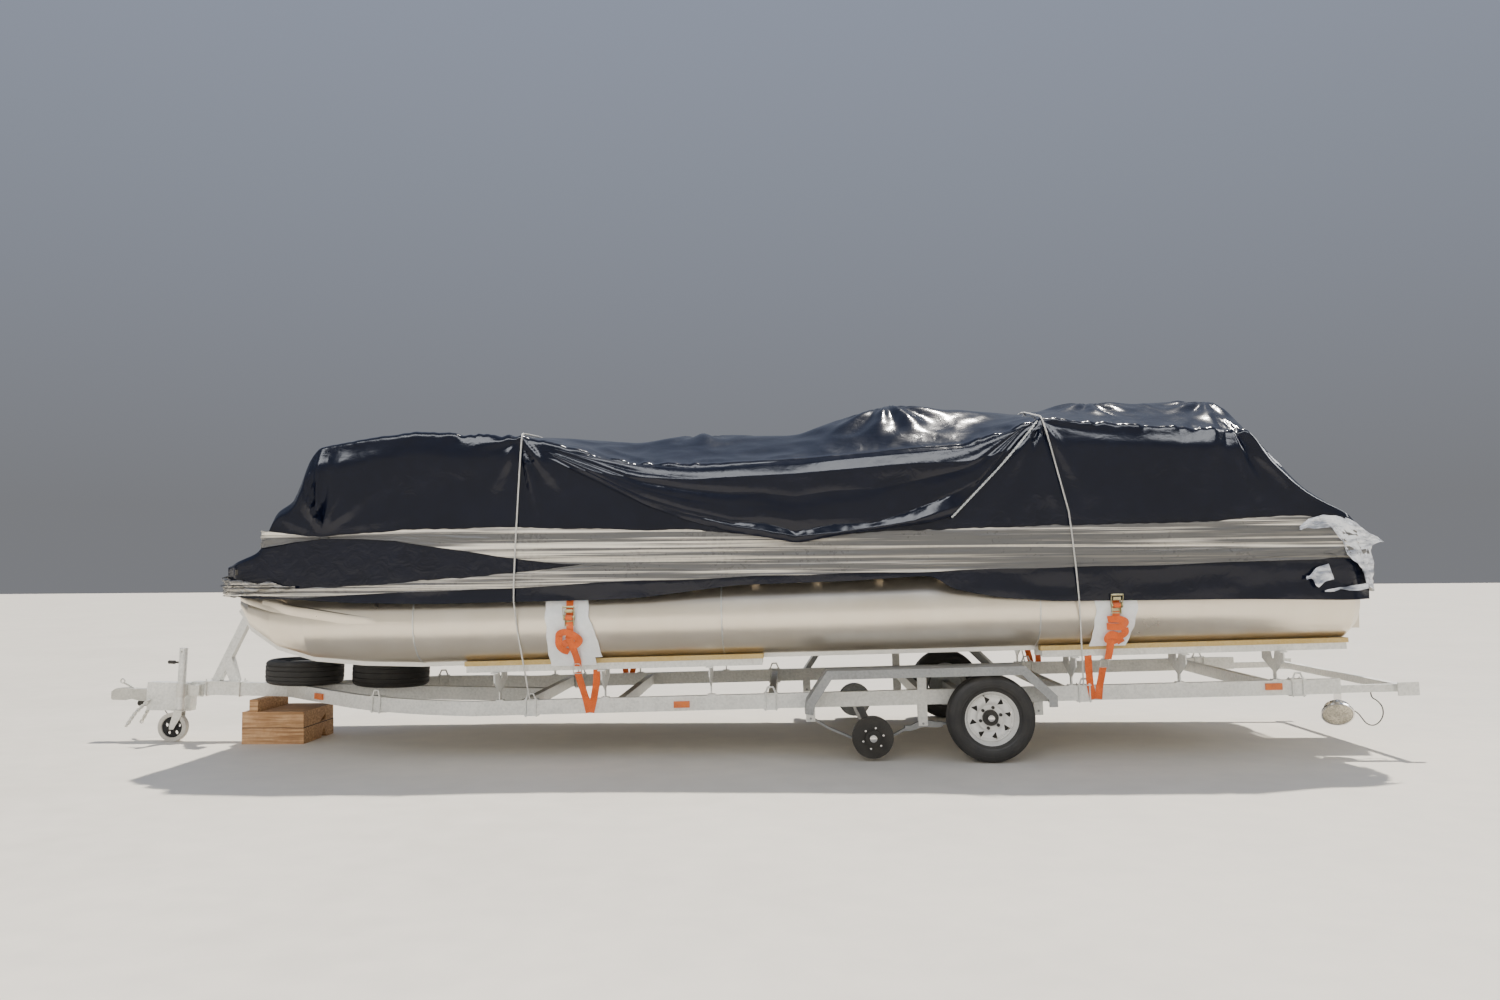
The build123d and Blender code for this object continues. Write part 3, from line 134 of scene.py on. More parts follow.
def sheet_piece(points):
    """A one-sided piece through a grid of points, rows across by columns along."""
    rows, columns = points.shape[:2]
    deselect()
    bpy.ops.mesh.primitive_grid_add(x_subdivisions=columns - 1, y_subdivisions=rows - 1, size=2)
    piece = bpy.context.object
    piece.data.vertices.foreach_set("co", np.asarray(points, dtype=float).reshape(-1))
    piece.data.update()
    return piece


def unit(vectors):
    """The same vectors with a length of 1."""
    return vectors / np.maximum(np.linalg.norm(vectors, axis=-1, keepdims=True), 1e-9)


def out_normals(points, out):
    """Unit normals of a grid of points, turned to the side that the vectors out give."""
    normal = unit(np.cross(np.gradient(points, axis=1), np.gradient(points, axis=0)))
    flip = np.sign((normal * out).sum(axis=2, keepdims=True))
    flip[flip == 0] = 1
    return normal * flip


def wave(points, scale, seed):
    """Smooth noise from -1 to 1 at each point of a grid."""
    flat = points.reshape(-1, 3) / np.asarray(scale)
    values = [noise.noise(Vector(p) + Vector((seed, seed * 0.37, -seed))) for p in flat]
    return np.array(values).reshape(points.shape[:2]) * 1.6


def table_at(x, table):
    """Values along x from a table of places and values."""
    return np.interp(x, *np.array(table).T)


def soften(values, x, spread):
    """Values along x, averaged over a distance on each side."""
    step = x[1] - x[0]
    reach = max(1, int(3 * spread / step))
    weights = np.exp(-0.5 * (np.arange(-reach, reach + 1) * step / spread) ** 2)
    padded = np.pad(values, reach, mode="edge")
    return np.convolve(padded, weights / weights.sum(), mode="valid")


def relax(points, times):
    """Even out points, or rows of points, by their neighbours, with both ends held."""
    for _ in range(times):
        points[1:-1] = (points[:-2] + 2 * points[1:-1] + points[2:]) / 4


def crease(u, w, line, width, height):
    """A rounded fold along a line of points in two directions, fading at its far end."""
    total = np.zeros_like(u)
    best = np.full_like(u, 1e9)
    run = 0.0
    lengths = [hypot(b[0] - a[0], b[1] - a[1]) for a, b in zip(line, line[1:])]
    whole = sum(lengths)
    for (a, b), length in zip(zip(line, line[1:]), lengths):
        dx, dz = (b[0] - a[0]) / length, (b[1] - a[1]) / length
        at = np.clip((u - a[0]) * dx + (w - a[1]) * dz, 0, length)
        gap = np.hypot(u - a[0] - at * dx, w - a[1] - at * dz)
        place = (run + at) / whole
        grown = width * (0.35 + 1.3 * place)
        value = height * np.exp(-(gap / grown) ** 2) * np.clip(1.15 - place, 0, 1)
        total = np.where(gap < best, value, total)
        best = np.minimum(best, gap)
        run += length
    return total


# Shader nodes, and the groups of them that several finishes share
def add_node(tree, kind, inputs=None, **settings):
    """A node whose inputs each take a value or what another node puts out. The settings are its own."""
    node = tree.nodes.new(kind if kind.startswith("NodeGroup") else "ShaderNode" + kind)
    for label, value in settings.items():
        setattr(node, label, value)
    for label, value in (inputs or {}).items():
        if isinstance(value, bpy.types.NodeSocket):
            tree.links.new(value, node.inputs[label])
        else:
            node.inputs[label].default_value = value
    return node


def start_group(name, inputs, outputs):
    """An empty shader node group with inputs and outputs by name and kind: (group, what its inputs give)."""
    group = bpy.data.node_groups.new(name, "ShaderNodeTree")
    for way, sockets in (("INPUT", inputs), ("OUTPUT", outputs)):
        for label, kind in sockets.items():
            group.interface.new_socket(label, in_out=way, socket_type="NodeSocket" + kind)
    return group, add_node(group, "NodeGroupInput").outputs


def mottle_group():
    """Two colours mixed by soft noise, with a roughness and a height that follow it."""
    group, given = start_group(
        "Mottle",
        {"Colour": "Color", "Second colour": "Color", "Place": "Vector", "Scale": "Float",
         "Detail scale": "Float", "Roughness": "Float", "Roughness spread": "Float"},
        {"Colour": "Color", "Roughness": "Float", "Height": "Float"})
    broad, fine = (
        add_node(group, "TexNoise",
                 {"Vector": given["Place"], "Scale": given[scale], "Detail": detail}).outputs["Fac"]
        for scale, detail in (("Scale", 4), ("Detail scale", 3)))
    both = add_node(group, "Math", {0: broad, 1: fine}, operation="ADD").outputs[0]
    spread = add_node(group, "MapRange", {"Value": both, "From Min": 0.75, "From Max": 1.25}).outputs[0]
    mix = add_node(group, "Mix", {"Factor": spread, "A": given["Colour"], "B": given["Second colour"]},
                   data_type="RGBA")
    rough = add_node(group, "Math", {0: spread, 1: given["Roughness spread"], 2: given["Roughness"]},
                     operation="MULTIPLY_ADD")
    add_node(group, "NodeGroupOutput",
             {"Colour": mix.outputs["Result"], "Roughness": rough.outputs[0], "Height": both})


def streak_group():
    """Noise drawn out along one way: a mask from 0 to 1."""
    group, given = start_group(
        "Streaks",
        {"Place": "Vector", "Stretch": "Vector", "Scale": "Float", "Low": "Float", "High": "Float"},
        {"Mask": "Float"})
    times = add_node(group, "VectorMath", {0: given["Place"], 1: given["Stretch"]}, operation="MULTIPLY")
    grain = add_node(group, "TexNoise", {"Vector": times.outputs[0], "Scale": given["Scale"], "Detail": 5,
                                         "Roughness": 0.6})
    spread = add_node(group, "MapRange", {"Value": grain.outputs["Fac"], "From Min": given["Low"],
                                          "From Max": given["High"]})
    add_node(group, "NodeGroupOutput", {"Mask": spread.outputs[0]})


def dust_group():
    """Dust in patches, thickest on faces that look up: a mask from 0 to 1."""
    group, given = start_group("Dust", {"Place": "Vector", "Amount": "Float", "Scale": "Float"},
                               {"Mask": "Float"})
    split = add_node(group, "SeparateXYZ", {0: add_node(group, "NewGeometry").outputs["Normal"]})
    up = add_node(group, "MapRange", {"Value": split.outputs["Z"], "From Min": 0.2})
    patch = add_node(group, "TexNoise", {"Vector": given["Place"], "Scale": given["Scale"], "Detail": 6})
    ramp = add_node(group, "MapRange",
                    {"Value": patch.outputs["Fac"], "From Min": 0.4, "From Max": 0.7, "To Min": 0.25})
    more = add_node(group, "Math", {0: up.outputs[0], 1: 0.75, 2: 0.25}, operation="MULTIPLY_ADD")
    both = add_node(group, "Math", {0: more.outputs[0], 1: ramp.outputs[0]}, operation="MULTIPLY")
    final = add_node(group, "Math", {0: both.outputs[0], 1: given["Amount"]}, operation="MULTIPLY",
                     use_clamp=True)
    add_node(group, "NodeGroupOutput", {"Mask": final.outputs[0]})


# Colour of dust where a finish gives no other
DUST = (0.5, 0.45, 0.38)


class Finish:
    """A material with a Principled BSDF, and short ways to add shared groups to it."""

    def __init__(self, name, **sockets):
        plain = bpy.data.materials.get(name)
        if plain:
            plain.name = name + "_plain"
        self.material = bpy.data.materials.new(name)
        self.material.use_nodes = True
        self.tree = self.material.node_tree
        self.shader = self.tree.nodes["Principled BSDF"]
        for label, value in sockets.items():
            self.shader.inputs[label.replace("_", " ")].default_value = value
        self.place = self.add("TexCoord").outputs["Object"]

    def add(self, kind, inputs=None, **settings):
        """One more node of this material."""
        return add_node(self.tree, kind, inputs, **settings)

    def shared(self, name, **values):
        """A shared group, laid out on the piece's own coordinates."""
        values = {label.replace("_", " "): value for label, value in values.items()}
        return self.add("Group", {"Place": self.place, **values},
                        node_tree=bpy.data.node_groups[name]).outputs

    def streaks(self, stretch, scale, low, high):
        """A mask of streaks drawn out along one way."""
        return self.shared("Streaks", Stretch=stretch, Scale=scale, Low=low, High=high)["Mask"]

    def texture(self, kind, output, inputs, **settings):
        """What a plain texture puts out, laid out on the piece's own coordinates."""
        return self.add("Tex" + kind, {"Vector": self.place, **inputs}, **settings).outputs[output]

    def mottle(self, colour, second, scale, detail, rough, spread):
        """Lay the mottled colour, with its roughness and height."""
        given = self.shared("Mottle", Colour=(*colour, 1), Second_colour=(*second, 1), Scale=scale,
                            Detail_scale=detail, Roughness=rough, Roughness_spread=spread)
        self.colour, self.height = given["Colour"], given["Height"]
        self.tree.links.new(given["Roughness"], self.shader.inputs["Roughness"])
        return self

    def over(self, mask, colour):
        """Lay a colour over the finish where the mask is high."""
        mix = self.add("Mix", {"Factor": mask, "A": self.colour, "B": (*colour, 1)}, data_type="RGBA")
        self.colour = mix.outputs["Result"]
        return self

    def dust(self, amount, colour=DUST):
        """Lay dust over the finish."""
        return self.over(self.shared("Dust", Amount=amount, Scale=12.0)["Mask"], colour)

    def relief(self, distance, strength, height=None):
        """Raise the finish by a height, or else by the mottle's own."""
        bump = self.add("Bump", {"Distance": distance, "Strength": strength, "Height": height or self.height})
        last = self.shader.inputs["Normal"]
        if last.is_linked:
            self.tree.links.new(last.links[0].from_socket, bump.inputs["Normal"])
        self.tree.links.new(bump.outputs["Normal"], last)
        return self

    def middle(self, about, reach, keep=(1, 0, 1)):
        """A mask of what lies within a distance of a place, along the ways that are kept."""
        apart = self.add("VectorMath", {0: self.place, 1: about}, operation="SUBTRACT")
        kept = self.add("VectorMath", {0: apart.outputs[0], 1: keep}, operation="MULTIPLY")
        size = self.add("VectorMath", {0: kept.outputs[0]}, operation="LENGTH")
        return self.add("Math", {0: size.outputs["Value"], 1: reach}, operation="LESS_THAN").outputs[0]

    def done(self):
        """Join the colour to the shader, last."""
        self.tree.links.new(self.colour, self.shader.inputs["Base Color"])
        return self.material


def galvanised(name, colour, second, rough, dust):
    """Hot-dip zinc: grains of different grey with white bloom and dust."""
    finish = Finish(name, Metallic=0.45).mottle(colour, second, 5.0, 55.0, rough, 0.25)
    tint = finish.add("SeparateColor", {0: finish.texture("Voronoi", "Color", {"Scale": 70})})
    faint = finish.add("Math", {0: tint.outputs[0], 1: 0.3}, operation="MULTIPLY")
    finish.over(faint.outputs[0], tuple(min(1, c * 1.5) for c in colour))
    finish.dust(dust).relief(0.0012, 0.35).done()


def shade(colour, factor):
    """A colour made lighter or darker."""
    return tuple(c * factor for c in colour)


# Mottled finishes: colour, second colour, the scales of both noises, roughness and its spread, the relief's
# depth and strength, dust with its colour where there is any, and the shader's other sockets
MOTTLED = (
    ("black_steel", (0.012, 0.012, 0.012), (0.035, 0.033, 0.03), 9, 120, 0.38, 0.25, 0.0008, 0.4,
     (0.35, (0.2, 0.17, 0.13)), {"Metallic": 0.2}),
    ("rim_white", (0.78, 0.78, 0.76), (0.68, 0.67, 0.64), 7, 60, 0.22, 0.2, 0.0004, 0.3,
     (0.3, (0.4, 0.36, 0.3)), {"Coat_Weight": 0.3}),
    ("tyre", (0.012, 0.012, 0.013), (0.030, 0.029, 0.028), 10, 150, 0.62, 0.2, 0.0008, 0.5,
     (0.35, (0.18, 0.165, 0.14)), {}),
    ("bunk_ochre", (0.50, 0.34, 0.10), (0.60, 0.44, 0.18), 6, 80, 0.55, 0.2, 0.0008, 0.4, (0.4, DUST), {}),
    ("aluminium_light", (0.72, 0.72, 0.70), (0.8, 0.8, 0.78), 5, 60, 0.32, 0.15, 0.0006, 0.2, (0.1, DUST),
     {"Metallic": 0.9}),
    ("gold_zinc", (0.42, 0.38, 0.20), (0.62, 0.58, 0.36), 30, 160, 0.32, 0.2, 0.0005, 0.3, (0.15, DUST),
     {"Metallic": 0.85}),
    ("film_twist", (0.62, 0.66, 0.66), (0.8, 0.82, 0.82), 20, 200, 0.2, 0.2, 0.001, 0.4, None,
     {"Alpha": 0.55}),
    ("chrome", (0.70, 0.70, 0.70), (0.78, 0.78, 0.78), 6, 80, 0.1, 0.15, 0.0005, 0.2, (0.25, DUST),
     {"Metallic": 1.0}),
    ("lens_cream", (0.30, 0.27, 0.21), (0.72, 0.66, 0.52), 17, 90, 0.2, 0.15, 0.001, 0.3, None,
     {"Coat_Weight": 0.6}),
    ("rubber", (0.014, 0.014, 0.014), (0.035, 0.034, 0.033), 14, 160, 0.55, 0.2, 0.0006, 0.4, (0.3, DUST),
     {}))


def make_materials():
    """Every finish of the part, each a material of its own name."""
    mottle_group()
    streak_group()
    dust_group()
    galvanised("galvanised", (0.60, 0.61, 0.59), (0.84, 0.84, 0.81), 0.38, 0.2)
    galvanised("galvanised_dark", (0.22, 0.23, 0.235), (0.36, 0.37, 0.375), 0.42, 0.3)
    galvanised("zinc", (0.58, 0.58, 0.55), (0.72, 0.71, 0.66), 0.28, 0.15)
    galvanised("cast_zinc", (0.42, 0.42, 0.39), (0.62, 0.61, 0.56), 0.42, 0.2)
    for name, colour, second, scale, detail, rough, spread, depth, strength, dust, sockets in MOTTLED:
        finish = Finish(name, **sockets).mottle(colour, second, scale, detail, rough, spread)
        if dust:
            finish.dust(*dust)
        finish.relief(depth, strength).done()

    timber = Finish("timber").mottle((0.50, 0.27, 0.12), (0.64, 0.40, 0.21), 4, 30, 0.65, 0.2)
    grain = timber.streaks((1.2, 18.0, 26.0), 2.4, 0.42, 0.62)
    timber.over(grain, (0.33, 0.17, 0.07)).dust(0.15)
    timber.over(timber.middle((0, 0, 0.12), 0.003, (0, 0, 1)), (0.05, 0.03, 0.02))
    timber.relief(0.0015, 0.5, grain).done()

    # Grey aluminium whose warm cream tint is a painted reflection of the sunlit floor
    metal = Finish("aluminium", Metallic=0.93)
    metal.mottle((0.72, 0.65, 0.54), (0.78, 0.72, 0.62), 0.9, 5, 0.27, 0.06)
    metal.relief(0.010, 0.25, metal.streaks((2.6, 0.2, 0.2), 1.0, 0.2, 0.8)).done()

    settings = bpy.context.scene.boat_cover
    black = tuple(settings.colour)
    # Black plastic, its blue tint a painted reflection of the sky
    sheet = Finish("cover_black", Specular_IOR_Level=0.33)
    sheet.mottle(black, shade(black, 1.3), 2.0, 14.0, settings.shine, 0.07).dust(0.008, (0.25, 0.26, 0.28))
    ripple = sheet.texture("Noise", "Fac", {"Scale": 9, "Detail": 5, "Distortion": 1.2})
    sheet.relief(0.008, 0.3, ripple).done()

    warm = tuple(bpy.context.scene.boat_film.colour)
    film = Finish("film", Specular_IOR_Level=0.45, Alpha=0.93)
    film.mottle(warm, shade(warm, 1.2), 3, 40, 0.25, 0.2)
    long = film.streaks((0.10, 0.5, 5.5), 2.4, 0.56, 0.44)
    fine = film.streaks((0.14, 0.8, 12.0), 2.4, 0.47, 0.58)
    thin = film.streaks((0.18, 0.8, 21.0), 2.4, 0.60, 0.50)
    film.over(long, (0.20, 0.19, 0.17)).over(fine, (0.92, 0.87, 0.77)).over(thin, (0.12, 0.12, 0.12))
    film.relief(0.002, 0.5, fine).relief(0.004, 0.5, long).done()

    bunch = Finish("film_bunch", Alpha=0.95).mottle((0.74, 0.78, 0.85), (0.93, 0.95, 1.0), 6, 60, 0.12, 0.15)
    # Blue-grey streaks over the white film are painted shade between its crumples
    painted_shade_gaps = bunch.streaks((0.8, 0.8, 2.4), 7.0, 0.52, 0.38)
    bunch.over(painted_shade_gaps, (0.30, 0.33, 0.40)).relief(0.006, 0.8, painted_shade_gaps).relief(0.004, 0.6).done()

    rope = Finish("rope_white", Sheen_Weight=0.2)
    rope.mottle((0.74, 0.74, 0.71), (0.6, 0.59, 0.56), 20, 300, 0.75, 0.1)
    rope.relief(0.001, 0.6, rope.texture("Wave", "Fac", {"Scale": 60}, bands_direction="DIAGONAL")).done()

    pad = Finish("pad_white", Sheen_Weight=0.15, Subsurface_Weight=0.1)
    pad.mottle((0.92, 0.92, 0.93), (0.84, 0.84, 0.85), 6, 40, 0.6, 0.15).dust(0.15)
    pad.relief(0.0012, 0.4, pad.texture("Voronoi", "Distance", {"Scale": 260})).done()

    orange = tuple(bpy.context.scene.boat_lashing.orange)
    web = Finish("web_orange", Sheen_Weight=0.25).mottle(orange, shade(orange, 0.72), 14, 200, 0.6, 0.15)
    for way, scale, depth in (("Z", 110, 0.0006), ("X", 60, 0.0008)):
        web.relief(depth, 0.5, web.texture("Wave", "Fac", {"Scale": scale}, bands_direction=way))
    web.done()

    amber = Finish("amber", Coat_Weight=0.5).mottle((0.75, 0.17, 0.01), (0.55, 0.1, 0.005), 20, 160, 0.2, 0.2)
    amber.relief(0.002, 0.6, amber.texture("Voronoi", "Distance", {"Scale": 180})).done()

    pale = Finish("jockey_rubber").mottle((0.44, 0.42, 0.38), (0.58, 0.56, 0.51), 14, 120, 0.7, 0.15)
    pale.dust(0.3).over(pale.middle(JOCKEY_AXLE, 0.079), (0.012, 0.012, 0.013)).relief(0.0006, 0.4).done()


class BOAT_OT_finishes(bpy.types.Operator):
    """Gives each carried-over solid its finish"""
    bl_idname = "boat.finishes"
    bl_label = "Finishes"

    def execute(self, context):
        make_materials()
        for entry in frame["record"]["subparts"]:
            node = frame["nodes"][entry["node"]]
            finish = "black_steel" if entry["node"] == "deck_panel" else entry["material_slot"]
            node.data.materials.clear()
            node.data.materials.append(bpy.data.materials[finish])
        return {"FINISHED"}


# Lights: kind, place, what it looks at, power, size or angle, colour
LIGHTS = (
    ("stage_sun", "SUN", (2.5, 6.0, 12.0), (0, 0, 0), 5.6, 0.03, (1.0, 0.95, 0.87)),
    ("stage_front", "AREA", (-2.0, -13.0, 4.0), (0, 0, 1.0), 620.0, 10.0, (0.99, 0.98, 0.97)),
    ("stage_stern", "AREA", (11.0, 1.0, 7.5), (3.0, 0, 1.5), 650.0, 4.0, (1.0, 1.0, 1.0)),
    ("stage_gloss", "AREA", (0.0, -5.0, 9.0), (0, -1.0, 2.0), 1050.0, 14.0, (0.95, 0.97, 1.0)))
GLOSS_DEPTH = 2.2
# The photo's camera: how it is turned and tipped, how far the floor slopes in its view, and where it stands
CAMERA_YAW, CAMERA_PITCH, FLOOR_SLOPE = radians(1.96), radians(3.24), 0.0082
CAMERA_SPOT = (SHIFT, -9.025, 1.305)


class BOAT_OT_stage(bpy.types.Operator):
    """Adds the floor, the lights and the camera"""
    bl_idname = "boat.stage"
    bl_label = "Stage"

    def execute(self, context):
        settings = context.scene.boat_stage
        deselect()
        bpy.ops.mesh.primitive_plane_add(size=120, location=(0, 0, 0))
        floor = context.object
        floor.name = "stage_floor"
        ground = tuple(settings.floor)
        pale = Finish("stage_floor").mottle(ground, shade(ground, 1.08), 0.6, 5, 0.6, 0.2)
        floor.data.materials.append(pale.done())

        world = bpy.data.worlds.new("stage_sky")
        context.scene.world = world
        world.use_nodes = True
        tree = world.node_tree
        split = add_node(tree, "SeparateXYZ", {0: add_node(tree, "TexCoord").outputs["Generated"]}).outputs
        high, before, low = (
            add_node(tree, "MapRange", {"Value": split[way], "From Min": least, "From Max": most}).outputs[0]
            for way, least, most in (("Z", 0.05, 0.75), ("Y", -0.15, -0.6), ("Z", 0.75, 0.35)))
        both = add_node(tree, "Math", {0: before, 1: low}, operation="MULTIPLY").outputs[0]
        sky = add_node(tree, "Mix", {"Factor": high, "A": (0.20, 0.205, 0.22, 1), "B": (0.36, 0.42, 0.56, 1)},
                       data_type="RGBA")
        warm = add_node(tree, "Mix", {"Factor": both, "A": sky.outputs["Result"], "B": (0.84, 0.80, 0.71, 1)},
                        data_type="RGBA")
        tree.links.new(warm.outputs["Result"], tree.nodes["Background"].inputs["Color"])
        tree.nodes["Background"].inputs["Strength"].default_value = 1.0

        for name, kind, spot, aim, power, size, colour in LIGHTS:
            light = bpy.data.lights.new(name, kind)
            light.energy = power
            light.color = colour
            if kind == "SUN":
                light.angle = size
            else:
                light.size = size
                if name == "stage_gloss":
                    light.shape = "RECTANGLE"
                    light.size_y = GLOSS_DEPTH
            lamp = bpy.data.objects.new(name, light)
            lamp.visible_glossy = name != "stage_front"
            lamp.visible_diffuse = name not in ("stage_gloss", "stage_stern")
            lamp.visible_camera = False
            lamp.matrix_world = (Matrix.Translation(spot)
                                 @ (Vector(spot) - Vector(aim)).to_track_quat("Z", "Y").to_matrix().to_4x4())
            context.scene.collection.objects.link(lamp)

        right = Vector((cos(CAMERA_YAW), sin(CAMERA_YAW), 0))
        ahead = Vector((-sin(CAMERA_YAW) * cos(CAMERA_PITCH), cos(CAMERA_YAW) * cos(CAMERA_PITCH),
                        sin(CAMERA_PITCH)))
        turn = Matrix(((1, 0, FLOOR_SLOPE), (0, 1, 0), (-FLOOR_SLOPE, 0, 1)))
        right, ahead = (turn @ right).normalized(), (turn @ ahead).normalized()
        up = right.cross(ahead).normalized()
        camera = bpy.data.cameras.new("photo_view")
        camera.lens = settings.lens
        camera.sensor_width = 36
        view = bpy.data.objects.new("photo_view", camera)
        rotation = Matrix((right, up, -ahead)).transposed().to_4x4()
        view.matrix_world = Matrix.Translation(CAMERA_SPOT) @ rotation
        context.scene.collection.objects.link(view)
        context.scene.camera = view
        return {"FINISHED"}


# Sheet and web helpers
def side_profile(x):
    """The cover's section at each place along it, from the hem up: distances from the middle, and heights."""
    fine = np.linspace(COVER[0, 0], COVER[-1, 0], 1600)
    half, shoulder, edge, mid = (
        np.interp(x, fine, soften(np.interp(fine, COVER[:, 0], COVER[:, n]), fine, 0.02 if n == 1 else 0.035))
        for n in (1, 2, 3, 4))
    hem = np.interp(x, fine, soften(np.interp(fine, HEM[:, 0], HEM[:, 1]), fine, 0.05))
    out = (half, half, half - 0.02, half - 0.075, half - 0.11, half * 0 + 0.62, half * 0 + 0.4, half * 0)
    up = (hem, shoulder, shoulder + 0.75 * (edge - shoulder), edge, edge + 0.03 * (mid - edge) + 0.006,
          mid - 0.004, mid, mid - np.where(mid > 1.9, 0.035, 0.005))
    return np.array(out), np.array(up)


def side_depth(x, z):
    """How far out the cover's side lies at each point of two arrays, along and up it."""
    out, up = side_profile(x.reshape(-1))
    flat = z.reshape(-1)
    values = [np.interp(flat[n], up[:4, n], out[:4, n]) for n in range(flat.size)]
    return np.array(values).reshape(z.shape)


def shaped(piece, kind, **settings):
    """Give a piece a modifier of a kind and apply it."""
    pick(piece)
    change = piece.modifiers.new(kind, kind)
    for label, value in settings.items():
        setattr(change, label, value)
    bpy.ops.object.modifier_apply(modifier=kind)
    return piece


def turned_out(piece, close=False):
    """Turn a piece's normals outwards. With close, points that lie on each other are joined first."""
    pick(piece)
    bpy.ops.object.mode_set(mode="EDIT")
    bpy.ops.mesh.select_all(action="SELECT")
    if close:
        bpy.ops.mesh.remove_doubles(threshold=0.00002)
    bpy.ops.mesh.normals_make_consistent(inside=False)
    bpy.ops.object.mode_set(mode="OBJECT")
    return piece


def thicken(piece, thickness):
    """Give a one-sided piece its thickness, half to each side."""
    return turned_out(shaped(piece, "SOLIDIFY", thickness=thickness, offset=0.0))


def joined(pieces):
    """Several pieces as one."""
    deselect()
    for piece in pieces:
        piece.select_set(True)
    bpy.context.view_layer.objects.active = pieces[0]
    bpy.ops.object.join()
    return bpy.context.object


def smooth_line(spots, count):
    """A smooth line through spots, each any number of values, with count points between two spots."""
    spots = np.asarray(spots, dtype=float)
    ends = np.vstack((2 * spots[0] - spots[1], spots, 2 * spots[-1] - spots[-2]))
    line = []
    for a, b, c, d in zip(ends, ends[1:], ends[2:], ends[3:]):
        for t in np.arange(count) / count:
            line.append(0.5 * (2 * b + (c - a) * t + (2 * a - 5 * b + 4 * c - d) * t * t
                               + (3 * b - a - 3 * c + d) * t ** 3))
    line.append(spots[-1])
    return np.array(line)


def run_along(line):
    """The way travelled along a line up to each of its points."""
    return np.concatenate(([0], np.cumsum(np.linalg.norm(np.diff(line, axis=0), axis=1))))


def even_line(line, step):
    """The same line with its points a step apart."""
    run = run_along(line)
    count = max(2, int(run[-1] / step) + 1)
    at = np.linspace(0, run[-1], count)
    return np.array([np.interp(at, run, column) for column in line.T]).T


def around(line, radius, turn):
    """Points at a radius about a line, each turned about it by an angle."""
    tangent = unit(np.gradient(line, axis=0))
    across = unit(np.cross(tangent, (0.1, 0.03, 1.0)))
    return line + radius * (np.cos(turn) * across + np.sin(turn) * np.cross(tangent, across))


def tube_grid(line, radius, sides):
    """A tube of one radius along a line, as a grid piece with its seam joined."""
    points = around(line, radius, np.linspace(0, tau, sides + 1)[:, None, None])
    return turned_out(sheet_piece(points), close=True)


def strands(line, radius, count, pitch, sides=6):
    """Strands laid round each other along a line."""
    run = run_along(line)
    made = []
    for n in range(count):
        turn = (run * tau / pitch + n * tau / count)[:, None]
        made.append(tube_grid(around(line, 0.5 * radius, turn), 0.56 * radius, sides))
    return joined(made)


def ring_piece(profile):
    """A ring about the Y axis at the origin, from (radius, place) points of a section."""
    radius, place = np.array(profile).T[:, :, None]
    turn = np.linspace(0, tau, RING_STEPS + 1)
    return turned_out(sheet_piece(stack(radius * np.cos(turn), place, radius * np.sin(turn))), close=True)


def block_piece(size, at, bevel=0.001, turn=0.0):
    """A bevelled bar or plate."""
    deselect()
    bpy.ops.mesh.primitive_cube_add(size=1, location=at, rotation=(turn, 0, 0), scale=size)
    bpy.ops.object.transform_apply(location=True, rotation=True, scale=True)
    return shaped(bpy.context.object, "BEVEL", width=bevel, segments=2)


def rod_piece(radius, length, at, axis="X", sides=24, bevel=0.001):
    """A round bar along an axis with softened ends."""
    deselect()
    turn = {"X": (0, pi / 2, 0), "Y": (pi / 2, 0, 0)}[axis]
    bpy.ops.mesh.primitive_cylinder_add(vertices=sides, radius=radius, depth=length, location=at,
                                        rotation=turn)
    bpy.ops.object.transform_apply(location=True, rotation=True, scale=True)
    return shaped(bpy.context.object, "BEVEL", width=bevel, segments=2, limit_method="ANGLE")


# Cover: X, half width, shoulder height, height of the side's top edge, of the middle
COVER = np.array((
    (-3.824, 1.132, 1.434, 1.444, 1.452), (-3.72, 1.25, 1.45, 1.48, 1.50), (-3.53, 1.25, 1.51, 1.56, 1.58),
    (-3.50, 1.25, 1.56, 1.79, 1.80), (-3.31, 1.25, 1.62, 1.882, 1.89), (-3.215, 1.25, 1.64, 2.24, 2.262),
    (-2.53, 1.25, 1.64, 2.312, 2.33), (-1.80, 1.25, 1.64, 2.26, 2.30), (-1.02, 1.25, 1.64, 2.065, 2.27),
    (-0.60, 1.25, 1.64, 2.03, 2.315), (0.10, 1.25, 1.64, 2.05, 2.275), (0.76, 1.25, 1.64, 2.10, 2.459),
    (1.24, 1.25, 1.64, 2.11, 2.425), (1.74, 1.25, 1.64, 2.275, 2.385), (2.08, 1.25, 1.64, 2.224, 2.425),
    (2.81, 1.25, 1.64, 2.16, 2.43), (3.09, 1.25, 1.64, 2.14, 2.42), (3.47, 1.25, 1.59, 1.73, 1.79),
    (3.70, 1.25, 1.54, 1.58, 1.60), (3.854, 1.124, 1.43, 1.436, 1.44)))
# Height of the cover's hem along the boat
HEM = np.array(((-3.9, 1.264), (-3.79, 1.264), (-3.70, 1.229), (-3.264, 1.204), (-2.957, 1.174),
                (-2.413, 1.152), (-1.268, 1.146), (-1.0, 1.151), (-0.333, 1.218), (0.397, 1.223),
                (0.992, 1.245), (1.057, 1.157), (1.384, 1.088), (1.776, 1.05), (3.011, 1.028), (3.654, 1.003),
                (3.9, 1.003)))
